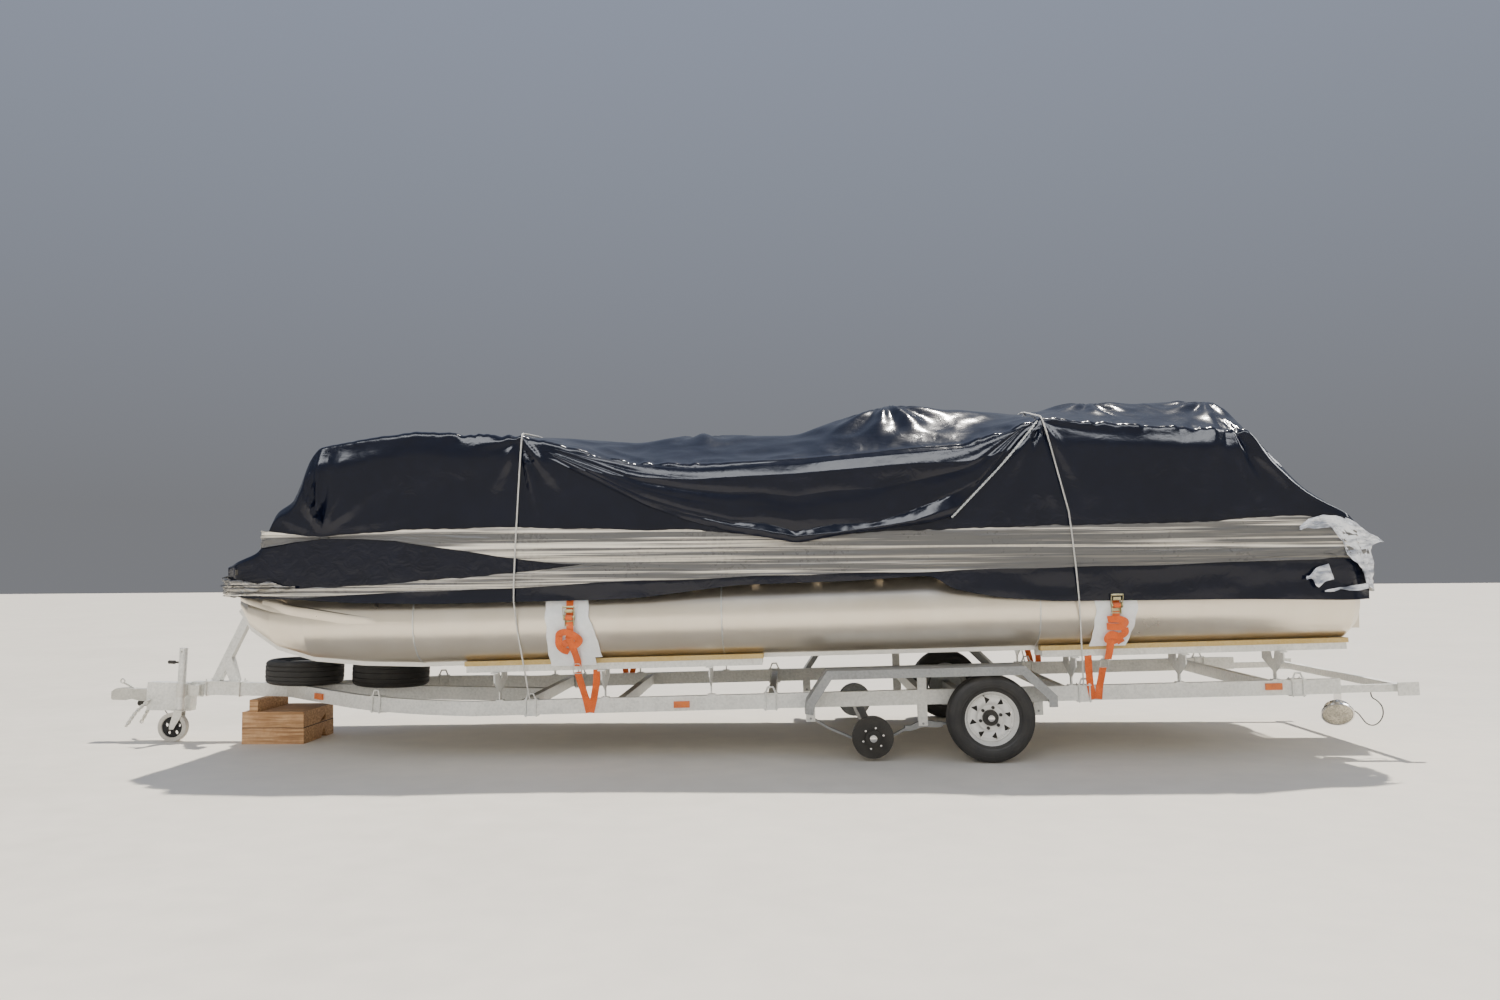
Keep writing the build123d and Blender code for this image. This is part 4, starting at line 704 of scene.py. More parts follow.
# Where folds run together, and the folds that spread from there: line, width and height
PINCH, ROPE_ONE, ROPE_TWO, STERN_TOP = (-3.14, 1.63), (-1.78, 2.24), (1.72, 2.26), (2.97, 2.3)
FOLDS = (
    ((PINCH, (-3.22, 1.9), (-3.24, 2.15)), 0.022, 0.03), ((PINCH, (-3.19, 1.9), (-3.205, 2.2)), 0.018, -0.03),
    ((PINCH, (-3.16, 1.9), (-3.165, 2.22)), 0.02, 0.03), ((PINCH, (-3.12, 1.9), (-3.10, 2.2)), 0.024, -0.024),
    ((PINCH, (-3.04, 1.9), (-2.98, 2.15)), 0.035, 0.018), ((PINCH, (-2.9, 1.85), (-2.75, 2.0)), 0.05, 0.014),
    ((PINCH, (-2.7, 1.72), (-2.45, 1.76)), 0.035, 0.012), ((PINCH, (-3.3, 1.7), (-3.45, 1.80)), 0.03, 0.02),
    ((PINCH, (-3.25, 1.75), (-3.33, 1.86)), 0.022, -0.018), ((ROPE_ONE, (-1.83, 1.66)), 0.03, 0.014),
    ((ROPE_ONE, (-1.72, 1.62)), 0.028, -0.024), ((ROPE_ONE, (-1.60, 1.62)), 0.032, 0.024),
    ((ROPE_ONE, (-1.45, 1.64)), 0.035, -0.022), ((ROPE_ONE, (-1.28, 1.66)), 0.04, 0.022),
    ((ROPE_ONE, (-1.95, 1.64)), 0.035, -0.012), ((ROPE_ONE, (-2.15, 1.66)), 0.05, 0.01),
    ((ROPE_ONE, (-2.2, 2.2)), 0.03, 0.012), ((ROPE_TWO, (1.78, 1.60)), 0.03, 0.016),
    ((ROPE_TWO, (1.93, 1.62)), 0.035, -0.018), ((ROPE_TWO, (2.1, 1.64)), 0.045, 0.014),
    ((ROPE_TWO, (1.62, 1.58)), 0.03, 0.02), ((ROPE_TWO, (1.48, 1.60)), 0.032, -0.022),
    ((ROPE_TWO, (1.3, 1.62)), 0.035, 0.022), ((ROPE_TWO, (1.1, 1.62)), 0.04, -0.018),
    ((ROPE_TWO, (2.1, 2.2)), 0.025, 0.012), ((ROPE_TWO, (2.3, 2.12)), 0.03, -0.012),
    ((STERN_TOP, (3.2, 1.95), (3.45, 1.62)), 0.03, 0.026),
    ((STERN_TOP, (3.1, 1.95), (3.3, 1.62)), 0.035, -0.024),
    ((STERN_TOP, (3.03, 1.95), (3.14, 1.64)), 0.035, 0.02),
    ((STERN_TOP, (2.92, 1.9), (2.95, 1.65)), 0.045, -0.014),
    ((STERN_TOP, (2.8, 1.95), (2.7, 1.75)), 0.05, 0.012))
# Peaks in the cover's top: X, Y, height, reach and number of pleats
PEAKS = ((0.76, -0.52, 0.03, 0.5, 9), (0.76, 0.52, 0.03, 0.5, 8), (-0.62, -0.35, 0.03, 0.45, 7),
         (-0.62, 0.4, 0.03, 0.45, 8), (3.02, -0.62, 0.02, 0.4, 8), (3.02, 0.62, 0.02, 0.4, 7),
         (2.2, -0.6, 0.012, 0.35, 7))


def cover_points(settings):
    """The cover's points, from the port hem over the top to the starboard hem."""
    x = np.linspace(COVER[0, 0], COVER[-1, 0], settings.along + 1)
    out, up = side_profile(x)
    share = np.array([0, 0.3, 0.52, 0.63, 0.66, 0.86, 0.92, 1.0])
    side = np.linspace(0, 1, settings.across // 2 + 1)
    port_y = np.array([np.interp(side, share, column) for column in out.T]).T
    port_z = np.array([np.interp(side, share, column) for column in up.T]).T
    y = np.vstack((-port_y, port_y[-2::-1]))
    z = np.vstack((port_z, port_z[-2::-1]))
    points = stack(x, y, z)
    relax(points[:, :, 1:], 5)
    return points


def fold_cover(points):
    """Push folds, pleats and creases into the cover."""
    out = points.copy()
    out[:, :, 0] = 0
    out[:, :, 2] = np.maximum(out[:, :, 2] - 1.2, 0) * 1.5
    normal = out_normals(points, out)
    x, y, z = points[:, :, 0], points[:, :, 1], points[:, :, 2]
    wall = np.clip(np.abs(normal[:, :, 1]) * 1.3, 0, 1) * (z > 1.3)
    push = np.zeros_like(x)
    held = np.clip((z - 1.66) / 0.09, 0, 1)
    under = np.where((y < 0) & (np.abs(x) < 1.66), 0.35, 1.0)
    for line, width, height in FOLDS:
        port = crease(x, z, line, width, height) * under
        other = crease(x + 0.06 * sin(line[0][0] * 9), z, line, width * 1.2, height * 0.9)
        push += np.where(y < 0, port, other) * wall * held
    above = np.clip((z - 1.6) / 0.5, 0, 1)
    near_film = np.exp(-np.clip(z - 1.66, 0, 1) / 0.07)
    push += 0.009 * np.abs(wave(points, (0.07, 0.6, 0.6), 17.0)) * near_film * held * wall
    push += 0.020 * wave(points, (0.8, 0.7, 0.5), 3.0) * above
    lying = np.clip(normal[:, :, 2], 0, 1)
    push += 0.004 * wave(points, (0.22, 0.2, 0.18), 11.0) * held * (0.4 + 0.6 * lying)
    sharp = np.abs(wave(points, (0.24, 0.2, 0.24), 23.0))
    push += 0.010 * (0.5 - np.minimum(sharp, 1.0)) * above * (0.25 + 0.75 * lying)
    push += 0.005 * wave(points, (0.35, 0.35, 0.12), 31.0) * (z < 1.27)
    top = np.clip(normal[:, :, 2] * 1.5 - 0.3, 0, 1)
    near_edge = np.exp(-((np.abs(y) - 1.14) / 0.07) ** 2) * top * (z > 1.9)
    hem = np.exp(-((np.abs(y) - 1.165 - 0.012 * wave(points, (0.3, 9, 9), 47.0)) / 0.018) ** 2) * (z > 1.9)
    pleats = wave(points, (0.045, 0.6, 0.6), 41.0) * np.clip(0.5 + wave(points, (0.5, 0.5, 0.5), 43.0), 0, 1)
    push += 0.007 * pleats * near_edge + 0.011 * hem * (0.75 + 0.5 * pleats)
    for px, py, height, radius, count in PEAKS:
        away = np.hypot(x - px, y - py)
        turn = np.arctan2(y - py, x - px)
        cone = np.clip(1 - away / radius, 0, 1)
        fan = np.cos(count * turn + px * 5) * np.clip(away / radius, 0, 1) * cone * 4
        push += (height * cone ** 1.3 * 0.4 + 0.013 * fan) * top
    return points + normal * push[:, :, None]


class BOAT_OT_cover(bpy.types.Operator):
    """Models the black sheet over the boat, down to its hem"""
    bl_idname = "boat.cover"
    bl_label = "Cover"

    def execute(self, context):
        piece = sheet_piece(fold_cover(cover_points(context.scene.boat_cover)))
        own(piece, "cover_sheet", "cover_black", smooth=60)
        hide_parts("cover", "skirt")
        return {"FINISHED"}


# Film: heights of the two edges of each band along the boat, and its line round the boat
UPPER_TOP = ((-3.55, 1.676), (-3.3, 1.645), (-3.13, 1.628), (-2.62, 1.648), (-1.945, 1.647), (-0.6, 1.592),
             (-0.09, 1.53), (0.73, 1.538), (2.046, 1.549), (3.347, 1.555), (3.60, 1.535), (3.70, 1.50),
             (3.87, 1.43))
UPPER_LOW = ((-3.55, 1.56), (-3.3, 1.59), (-3.13, 1.604), (-2.62, 1.58), (-1.944, 1.459), (-1.5, 1.40),
             (-0.6, 1.33), (0.1, 1.31), (0.73, 1.30), (3.87, 1.30))
LOWER_TOP = ((-3.84, 1.36), (-3.3, 1.279), (-2.62, 1.305), (-1.94, 1.332), (-1.5, 1.37), (-0.6, 1.45),
             (0.1, 1.42), (3.87, 1.40))
LOWER_LOW = ((-3.84, 1.25), (-3.63, 1.241), (-3.3, 1.212), (-2.62, 1.238), (-1.94, 1.245), (-0.6, 1.273),
             (3.34, 1.273), (3.87, 1.264))
UPPER_PLAN = ((3.866, 0), (3.866, -1.126), (3.705, -1.257), (-3.50, -1.257), (-3.55, -1.21), (-3.55, 0))
LOWER_PLAN = ((3.866, 0), (3.866, -1.126), (3.705, -1.257), (-3.715, -1.257), (-3.836, -1.138), (-3.836, 0))

# Crushed parts: line, heights of both edges, seed of the noise, how far they are crushed, and finish
BUNCHES = (
    ("film_bow", ((-3.30, -1.259), (-3.715, -1.259), (-3.838, -1.138), (-3.838, -0.85)),
     ((-3.84, 1.36), (-3.70, 1.345), (-3.58, 1.315), (-3.30, 1.30)),
     ((-3.84, 1.243), (-3.70, 1.233), (-3.58, 1.258), (-3.30, 1.262)), 21.0, 1.6, "film"),
    ("film_stern", ((3.868, -0.80), (3.868, -1.126), (3.705, -1.259), (3.36, -1.259)),
     ((3.36, 1.49), (3.42, 1.527), (3.516, 1.55), (3.60, 1.545), (3.70, 1.50), (3.868, 1.42)),
     ((3.36, 1.485), (3.42, 1.495), (3.56, 1.475), (3.63, 1.38), (3.65, 1.30), (3.70, 1.25), (3.75, 1.19),
      (3.79, 1.08), (3.868, 1.06)), 27.0, 1.3, "film_bunch"),
    ("film_patch", ((3.56, -1.259), (3.385, -1.259)),
     ((3.385, 1.165), (3.45, 1.225), (3.53, 1.25), (3.56, 1.15)),
     ((3.385, 1.16), (3.42, 1.15), (3.44, 1.10), (3.46, 1.085), (3.50, 1.12), (3.56, 1.14)), 33.0, 1.2,
     "film_bunch"),
    ("film_shard", ((3.78, -1.259), (3.50, -1.259)),
     ((3.50, 1.065), (3.56, 1.085), (3.66, 1.10), (3.78, 1.12)),
     ((3.50, 1.06), (3.56, 1.05), (3.60, 1.065), (3.66, 1.055), (3.78, 1.06)), 41.0, 0.8, "film_bunch"))
# A band's and a crushed part's step along, and rows of points across
BAND_STEP, CRUSHED_STEP, BAND_ROWS = 0.018, 0.006, 37


def wind_film(name, plan, top, low, gap, seed, crush=None, finish="film"):
    """One band of film stretched round the boat, with ripples along it, or one crushed part of a band."""
    near = np.array(plan, dtype=float)
    step = CRUSHED_STEP if crush else BAND_STEP
    line = even_line(near if crush else np.vstack((near, (near * (1, -1))[-2::-1])), step)
    relax(line, 3)
    tangent = np.gradient(line, axis=0)
    out = unit(np.stack((tangent[:, 1], -tangent[:, 0]), axis=1))
    if (out * line).sum() < 0:
        out = -out
    share = np.linspace(0, 1, BAND_ROWS)[:, None]
    high, base = table_at(line[:, 0], top), table_at(line[:, 0], low)
    place = stack(np.arange(len(line)) * step, share, 0)
    rag = wave(place[:1], (0.4, 1, 1), seed)[0] * 0.010 + wave(place[:1], (0.07, 1, 1), seed + 5)[0] * 0.004
    tear = wave(place[:1], (0.55, 1, 1), seed + 9)[0] * 0.012
    height = base + tear + (high + rag - base - tear) * share
    ripple = 0.0035 * wave(place, (0.9, 0.11, 1), seed + 2) + 0.0025 * wave(place, (0.28, 0.07, 1), seed + 3)
    ends = np.exp(-((line[:, 0] + 3.75) / 0.33) ** 2) + np.exp(-((line[:, 0] - 3.72) / 0.26) ** 2)
    if crush:
        ends = 0 * ends + crush
    knots = (np.abs(wave(place, (0.09, 0.22, 1), seed + 7))
             + 0.5 * np.abs(wave(place, (0.035, 0.12, 1), seed + 8)))
    away = gap + 0.003 + ripple + 0.013 * ends * knots
    height = height + 0.012 * ends * wave(place, (0.12, 0.3, 1), seed + 6)
    piece = sheet_piece(stack(line[:, 0] + out[:, 0] * away, line[:, 1] + out[:, 1] * away, height))
    return own(piece, name, finish, smooth=60)


class BOAT_OT_film(bpy.types.Operator):
    """Winds the two bands of film round the deck's edge, with the loose tail at the stern"""
    bl_idname = "boat.film"
    bl_label = "Film"

    def execute(self, context):
        gap = context.scene.boat_film.gap
        lower = wind_film("film_low", LOWER_PLAN, LOWER_TOP, LOWER_LOW, gap - 0.002, 4.0)
        upper = wind_film("film_high", UPPER_PLAN, UPPER_TOP, UPPER_LOW, gap + 0.002, 9.0)
        u = np.linspace(0, 1, 61)[None, :]
        v = np.linspace(-1, 1, 41)[:, None]
        crush = 0.024 * np.abs(wave(stack(u, v, 0), (0.30, 0.38, 1), 3.0)) * (1 - 0.5 * u)
        half = 0.115 * (1 - u) + 0.002
        tail = sheet_piece(stack(3.66 + 0.26 * u, -1.270 + 0.06 * u - 0.012 * v * np.sin(4 * u) - crush,
                                 1.425 - 0.05 * u + half * v + 0.008 * np.sin(9 * u)))
        own(tail, "film_tail", "film_bunch")
        bunches = [wind_film(name, plan, top, low, gap + 0.004, seed, crush, finish)
                   for name, plan, top, low, seed, crush, finish in BUNCHES]
        for piece in (lower, upper, tail, *bunches):
            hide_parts("film_bands")
        return {"FINISHED"}


# Swag: the second sheet hung over the near side
SWAG_TOP = ((-1.70, 2.20), (-1.55, 2.185), (-1.35, 2.135), (-1.02, 2.055), (-0.6, 2.025), (0.1, 2.045),
            (0.76, 2.09), (1.24, 2.105), (1.50, 2.185), (1.67, 2.235))
SWAG_LOW = ((-1.70, 2.17), (-1.6, 2.12), (-1.265, 1.945), (-0.93, 1.768), (-0.67, 1.666), (-0.331, 1.563),
            (-0.092, 1.521), (0.073, 1.483), (0.396, 1.533), (0.726, 1.569), (0.962, 1.595), (1.12, 1.636),
            (1.385, 1.925), (1.60, 2.16), (1.67, 2.21))
LEDGE = ((-1.70, 2.17), (-1.265, 1.95), (-0.93, 1.79), (-0.67, 1.70), (-0.36, 1.615), (0.07, 1.531),
         (0.58, 1.558), (0.86, 1.61), (1.15, 1.70), (1.385, 1.93), (1.67, 2.21))
# Where the swag's hem bulges: X, how far its ledge reaches out there, and how deep the ledge is
SWAG_BULGES = ((-0.8, 0.0, 0.01), (-0.36, 0.018, 0.02), (-0.14, 0.052, 0.055), (0.07, 0.022, 0.03),
               (0.33, 0.058, 0.06), (0.58, 0.024, 0.03), (0.86, 0.062, 0.075), (1.15, 0.03, 0.09),
               (1.3, 0.0, 0.02))
# Where the ledge starts and ends, as shares of the swag from its top
LEDGE_FROM, LEDGE_TO = 0.80, 0.90


class BOAT_OT_swag(bpy.types.Operator):
    """Hangs the loose second sheet over the port side, with its rolled hem"""
    bl_idname = "boat.swag"
    bl_label = "Swag"

    def execute(self, context):
        x = np.linspace(-1.70, 1.67, 361)
        share = np.linspace(0, 1, 111)[:, None]
        top = soften(table_at(x, SWAG_TOP), x, 0.03)
        low = soften(table_at(x, SWAG_LOW), x, 0.035)
        place = stack(x, share, 0)
        middle = np.clip((x + 0.75) / 0.35, 0, 1) * np.clip((1.28 - x) / 0.12, 0, 1)
        crest = low + np.maximum(table_at(x, LEDGE) - low, 0.02)
        bulge_x, *bulges = zip(*SWAG_BULGES)
        reach, shelf = (np.interp(x, bulge_x, values) for values in bulges)
        plain = np.clip(share / LEDGE_FROM, 0, 1)
        slope = np.clip((share - LEDGE_FROM) / 0.10, 0, 1)
        drop = np.clip((share - LEDGE_TO) / 0.10, 0, 1)
        height = top - (top - crest - shelf) * plain - shelf * slope - (crest - low) * drop
        tall = np.clip((top - low) / 0.45, 0, 1)
        left = np.clip((0.1 - x) / 1.6, 0, 1)
        warp = share + 0.05 * wave(place, (1.4, 1.2, 1), 5.0)
        fold = tall * (0.012 * np.abs(np.sin(pi * 2.1 * warp + 0.4))
                       + 0.008 * left * np.abs(np.sin(pi * 5.2 * warp)))
        small = (0.003 * wave(place, (0.35, 0.16, 1), 12.0)
                 + 0.004 * wave(place, (0.06, 0.2, 1), 14.0) * (slope > 0) * middle)
        depth = (side_depth(place[:, :, 0], np.minimum(height, top)) + 0.010 + 0.010 * share * tall
                 + fold * (1 - slope) + small)
        depth = depth + middle * (reach * slope ** 0.8 - 0.018 * drop ** 2)
        tuck = np.clip(1 - share / 0.05, 0, 1)
        piece = sheet_piece(stack(x, -(depth - 0.012 * tuck), height))
        own(piece, "swag", "cover_black", smooth=50)
        return {"FINISHED"}


# Ropes: X at heights up the side and over the top
TUBE_Y, TUBE_Z, TUBE_R = 0.93, 1.02, 0.28
ROPES = (("rope_bow", ((0.40, -1.79), (1.15, -1.829), (1.64, -1.80), (2.26, -1.765))),
         ("rope_stern", ((0.40, 1.99), (1.046, 1.915), (1.64, 1.87), (2.28, 1.738))))
# Where the ropes start, how far out the film lies, and the line of the twisted strand
ROPE_FOOT, FILM_OUT = (0.985, 0.47), 1.273
STRAND = ((1.70, -1.205, 2.25), (1.62, -1.262, 2.16), (1.45, -1.275, 1.97), (1.28, -1.280, 1.80),
          (1.10, -1.277, 1.622))


def corner_turn(a, b, c):
    """Twice the area of the corner a, b, c: above 0 when it turns to the left."""
    return (b[0] - a[0]) * (c[1] - a[1]) - (b[1] - a[1]) * (c[0] - a[0])


def taut_route(cover, places, foot, clear):
    """Line of a rope pulled over the boat from the port rail to the starboard rail."""
    heights, along = np.array(places).T
    spots = [(-foot[0], foot[1]), (foot[0], foot[1])]
    for turn in np.linspace(-70, 60, 27):
        y, z = TUBE_Y + TUBE_R * cos(radians(turn)), TUBE_Z + TUBE_R * sin(radians(turn))
        spots += [(y, z), (-y, z)]
    columns = cover[0, :, 0]
    for row in cover:
        z = row[:, 2].mean()
        for _ in range(3):
            n = int(np.argmin(np.abs(columns - np.interp(z, heights, along))))
            z = row[n, 2]
        spots.append((row[n, 1], row[n, 2]))
    spots += [(side * FILM_OUT, z) for side in (-1, 1) for z in np.linspace(1.26, 1.52, 14)]
    spots = sorted(set((round(float(y), 5), round(float(z), 5)) for y, z in spots))
    hull = []
    for points in (spots, spots[::-1]):
        part = []
        for p in points:
            while len(part) > 1 and corner_turn(part[-2], part[-1], p) <= 0:
                part.pop()
            part.append(p)
        hull += part[:-1]
    start = min(range(len(hull)), key=lambda n: hypot(hull[n][0] + foot[0], hull[n][1] - foot[1]))
    hull = [hull[(start - n) % len(hull)] for n in range(len(hull))]
    stop = min(range(len(hull)), key=lambda n: hypot(hull[n][0] - foot[0], hull[n][1] - foot[1]))
    line = even_line(np.array(hull[:stop + 1]), 0.01)
    relax(line, 4)
    tangent = np.gradient(line, axis=0)
    line = line + unit(np.stack((-tangent[:, 1], tangent[:, 0]), axis=1)) * clear
    return np.column_stack((np.interp(line[:, 1], heights, along), line))


class BOAT_OT_ropes(bpy.types.Operator):
    """Pulls the two laid ropes over the boat and hangs the twisted film strand"""
    bl_idname = "boat.ropes"
    bl_label = "Ropes"

    def execute(self, context):
        radius = context.scene.boat_lashing.rope
        cover = fold_cover(cover_points(context.scene.boat_cover))
        for name, places in ROPES:
            route = even_line(taut_route(cover, places, ROPE_FOOT, radius + 0.003), 0.009)
            rope = strands(route, radius, 3, 0.045)
            own(rope, name, "rope_white", smooth=60)
            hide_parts("ropes")
        twist = strands(even_line(smooth_line(STRAND, 30) - (0, 0.012, 0), 0.006), 0.0075, 2, 0.06, 7)
        own(twist, "film_strand", "film_twist", smooth=60)
        return {"FINISHED"}


# Straps: X, height of the ratchet, and runs whose spots are along from the strap, height, stand-off and roll
PAD_OUT, RAIL_Y, RAIL_HIGH = 0.012, 0.977, 0.465
FRONT_X, REAR_X = -1.462, 2.159
DRUM_SPOT, HANDLE_LEAN = (0, 0.004, 0.018), radians(14)
BANDS = (
    ("strap_bow", FRONT_X, 1.03, (
        ((0, 1.215, 0.002, 0), (0, 1.14, 0.004, 0), (0, 1.06, 0.006, 0), (0, 0.985, 0.008, 0)),
        ((0.0, 1.005, 0.018, 0), (0.004, 0.965, 0.034, 6), (0.0, 0.93, 0.022, -8), (-0.012, 0.90, 0.030, 10)),
        ((-0.080, 0.900, 0.010, 0), (-0.068, 0.935, 0.024, 10), (-0.02, 0.948, 0.040, 8),
         (0.035, 0.925, 0.044, -6), (0.060, 0.892, 0.030, -14), (0.03, 0.870, 0.046, 6),
         (-0.02, 0.885, 0.040, 10), (-0.055, 0.860, 0.020, 20)),
        ((-0.078, 0.91, 0.012, 0), (-0.080, 0.865, 0.028, 0), (-0.055, 0.83, 0.03, 0),
         (-0.02, 0.81, 0.018, 0)),
        ((0.0, 0.915, 0.050, 0), (0.012, 0.86, 0.046, -6), (0.024, 0.80, 0.032, 6), (0.03, 0.745, 0.018, 0),
         (0.028, 0.705, 0.012, 0)),
        ((0.018, 0.66, 0.004, 0), (0.038, 0.55, 0.003, 0), (0.062, 0.43, 0.002, 0), (0.075, 0.372, 0.005, 0)),
        ((0.145, 0.66, -0.03, 5), (0.135, 0.57, -0.012, 3), (0.11, 0.47, 0.0, 0), (0.085, 0.372, 0.004, 0)))),
    ("strap_stern", REAR_X, 1.01, (
        ((0, 1.11, 0.002, 0), (0, 1.05, 0.005, 0), (0, 0.985, 0.008, 0)),
        ((-0.005, 0.975, 0.018, 0), (-0.004, 0.935, 0.030, 8), (-0.008, 0.905, 0.018, -6)),
        ((-0.055, 0.925, 0.014, 0), (-0.01, 0.935, 0.040, 6), (0.04, 0.925, 0.044, -8),
         (0.060, 0.905, 0.032, -20), (0.035, 0.893, 0.046, 4), (-0.02, 0.890, 0.044, 8),
         (-0.06, 0.885, 0.022, 10)),
        ((0.055, 0.875, 0.030, 8), (0.058, 0.845, 0.042, -8), (0.02, 0.828, 0.044, 6),
         (-0.03, 0.832, 0.030, 10), (-0.052, 0.805, 0.040, 8), (-0.02, 0.785, 0.034, 12),
         (0.03, 0.790, 0.024, 8), (0.05, 0.765, 0.012, 0)),
        ((-0.03, 0.81, 0.038, -8), (-0.03, 0.76, 0.036, 6), (-0.028, 0.71, 0.026, 0),
         (-0.03, 0.655, 0.016, 0)),
        ((-0.055, 0.60, 0.006, 0), (-0.062, 0.50, 0.004, 0), (-0.078, 0.372, 0.005, 0)),
        ((-0.155, 0.665, -0.02, 0), (-0.142, 0.55, -0.004, 0), (-0.112, 0.372, 0.004, 0)))))
# Hooks: X, upper and lower height, and half width
HOOKS = (("hook_bow", FRONT_X + 0.02, 0.715, 0.66, 0.035), ("hook_stern", REAR_X - 0.05, 0.655, 0.605, 0.035))
# Pads: X, top, bottom, and how far the edges reach forward and aft, from the top down
PADS = (("pad_bow", FRONT_X, 1.215, 0.705, (-0.165, -0.165, -0.165, -0.160), (0.120, 0.125, 0.145, 0.150)),
        ("pad_bow_fold", FRONT_X, 1.175, 0.76, (0.06, 0.05, 0.055, 0.06), (0.118, 0.13, 0.17, 0.20)),
        ("pad_stern", REAR_X, 1.105, 0.74, (-0.135, -0.125, -0.135, -0.155), (0.150, 0.145, 0.125, 0.085)),
        ("pad_stern_fold", REAR_X, 1.10, 0.985, (-0.135, -0.115, -0.06, -0.025),
         (-0.03, -0.02, -0.012, -0.01)))


def lash_depth(z, radius):
    """How far out from the middle a strap runs at a height: round the tube, then straight to the rail."""
    reach = hypot(RAIL_Y - TUBE_Y, RAIL_HIGH - TUBE_Z)
    leave = atan2(RAIL_HIGH - TUBE_Z, RAIL_Y - TUBE_Y) + acos(radius / reach)
    y1, z1 = TUBE_Y + radius * cos(leave), TUBE_Z + radius * sin(leave)
    if z > z1:
        return TUBE_Y + sqrt(max(radius ** 2 - (z - TUBE_Z) ** 2, 0))
    return RAIL_Y + (y1 - RAIL_Y) * max(0, (z - RAIL_HIGH) / (z1 - RAIL_HIGH))


def lash_frame(x, z, away, side):
    """Place on a strap's line: along the boat, up the line and outwards."""
    radius = TUBE_R + PAD_OUT
    y = lash_depth(z, radius)
    slope = (lash_depth(z + 0.01, radius) - lash_depth(z - 0.01, radius)) / 0.02
    up = Vector((0, side * slope, 1)).normalized()
    out = Vector((0, side, -slope)).normalized()
    return Vector((x, side * y, z)) + out * away, up, out


def band_piece(spots, x, side, width):
    """A run of webbing through spots on a strap's line, as a thick strip."""
    line = smooth_line(spots, 9)
    frames = [lash_frame(x + along, z, away, side) for along, z, away, _ in line]
    centre, outs = (np.array([spot[n] for spot in frames]) for n in (0, 2))
    travel = unit(np.gradient(centre, axis=0))
    wide = unit(np.cross(outs, travel))
    other = np.cross(travel, wide)
    turn = np.radians(line[:, 3])[:, None] * -side
    wide = wide * np.cos(turn) + other * np.sin(turn)
    share = np.linspace(-0.5, 0.5, 7)[:, None, None]
    curl = (np.abs(share) * 2) ** 2 * 0.0012
    return thicken(sheet_piece(centre + share * width * wide + curl * other), 0.0024)


def ratchet_piece(place):
    """Frame, drum, wheels and handle of one ratchet."""
    metal = [block_piece((0.003, 0.108, 0.02), (side * 0.0295, 0.0, 0.010)) for side in (-1, 1)]
    metal += [rod_piece(0.0048, 0.066, (0, y, 0.011)) for y in (-0.047, 0.047)]
    metal.append(block_piece((0.056, 0.03, 0.002), (0, -0.03, 0.002), 0.0005))
    metal.append(rod_piece(0.008, 0.07, DRUM_SPOT))
    for side in (-1, 1):
        metal.append(rod_piece(0.0195, 0.003, (side * 0.0345, *DRUM_SPOT[1:]), sides=28, bevel=0.0004))
        metal.append(block_piece((0.0025, 0.088, 0.016), (side * 0.0385, 0.034, 0.030), turn=HANDLE_LEAN))
    metal.append(rod_piece(0.007, 0.08, (0, 0.074, 0.042), bevel=0.002))
    metal.append(block_piece((0.05, 0.022, 0.003), (0, 0.048, 0.031), 0.0008, HANDLE_LEAN))
    metal = joined(metal)
    metal.data.transform(place)
    return metal


def hook_piece(x, high, low, half, side):
    """Triangular wire hook between two runs of web."""
    spots = []
    for along, z in ((-0.02, high + 0.006), (0.02, high + 0.006), (half * 0.8, low + 0.004),
                     (half * 0.7, low - 0.004), (-half * 0.7, low - 0.004), (-half * 0.8, low + 0.004),
                     (-0.02, high + 0.006), (0.015, high + 0.006)):
        spots.append(lash_frame(x + along, z, 0.014, side)[0])
    return tube_grid(even_line(smooth_line(spots, 8), 0.003), 0.0032, 8)


def pad_piece(x, high, low, fore, aft, folded, side):
    """One padded sheet under a strap, its edges set by how far they reach forward and aft."""
    z = np.linspace(high, low, 61)
    left, right = (np.interp(np.linspace(0, 1, 61), np.linspace(0, 1, 4), edge)[:, None]
                   for edge in (fore, aft))
    share = np.linspace(0, 1, 41)[None, :]
    place = stack(x + left + (right - left) * share, z[:, None], 0)
    along = place[:, :, 0] + 0.006 * wave(place, (1, 0.06, 1), 7 + side)
    depth = np.array([lash_depth(h, TUBE_R) for h in z])[:, None] + (0.0135 if folded else 0.0045)
    dip = 0.004 * np.exp(-((along - x) / 0.035) ** 2)
    depth = depth + 0.003 * wave(place, (0.05, 0.07, 1), 3 + side) - dip * (not folded)
    return thicken(sheet_piece(stack(along, side * depth, z[:, None])), 0.0062)


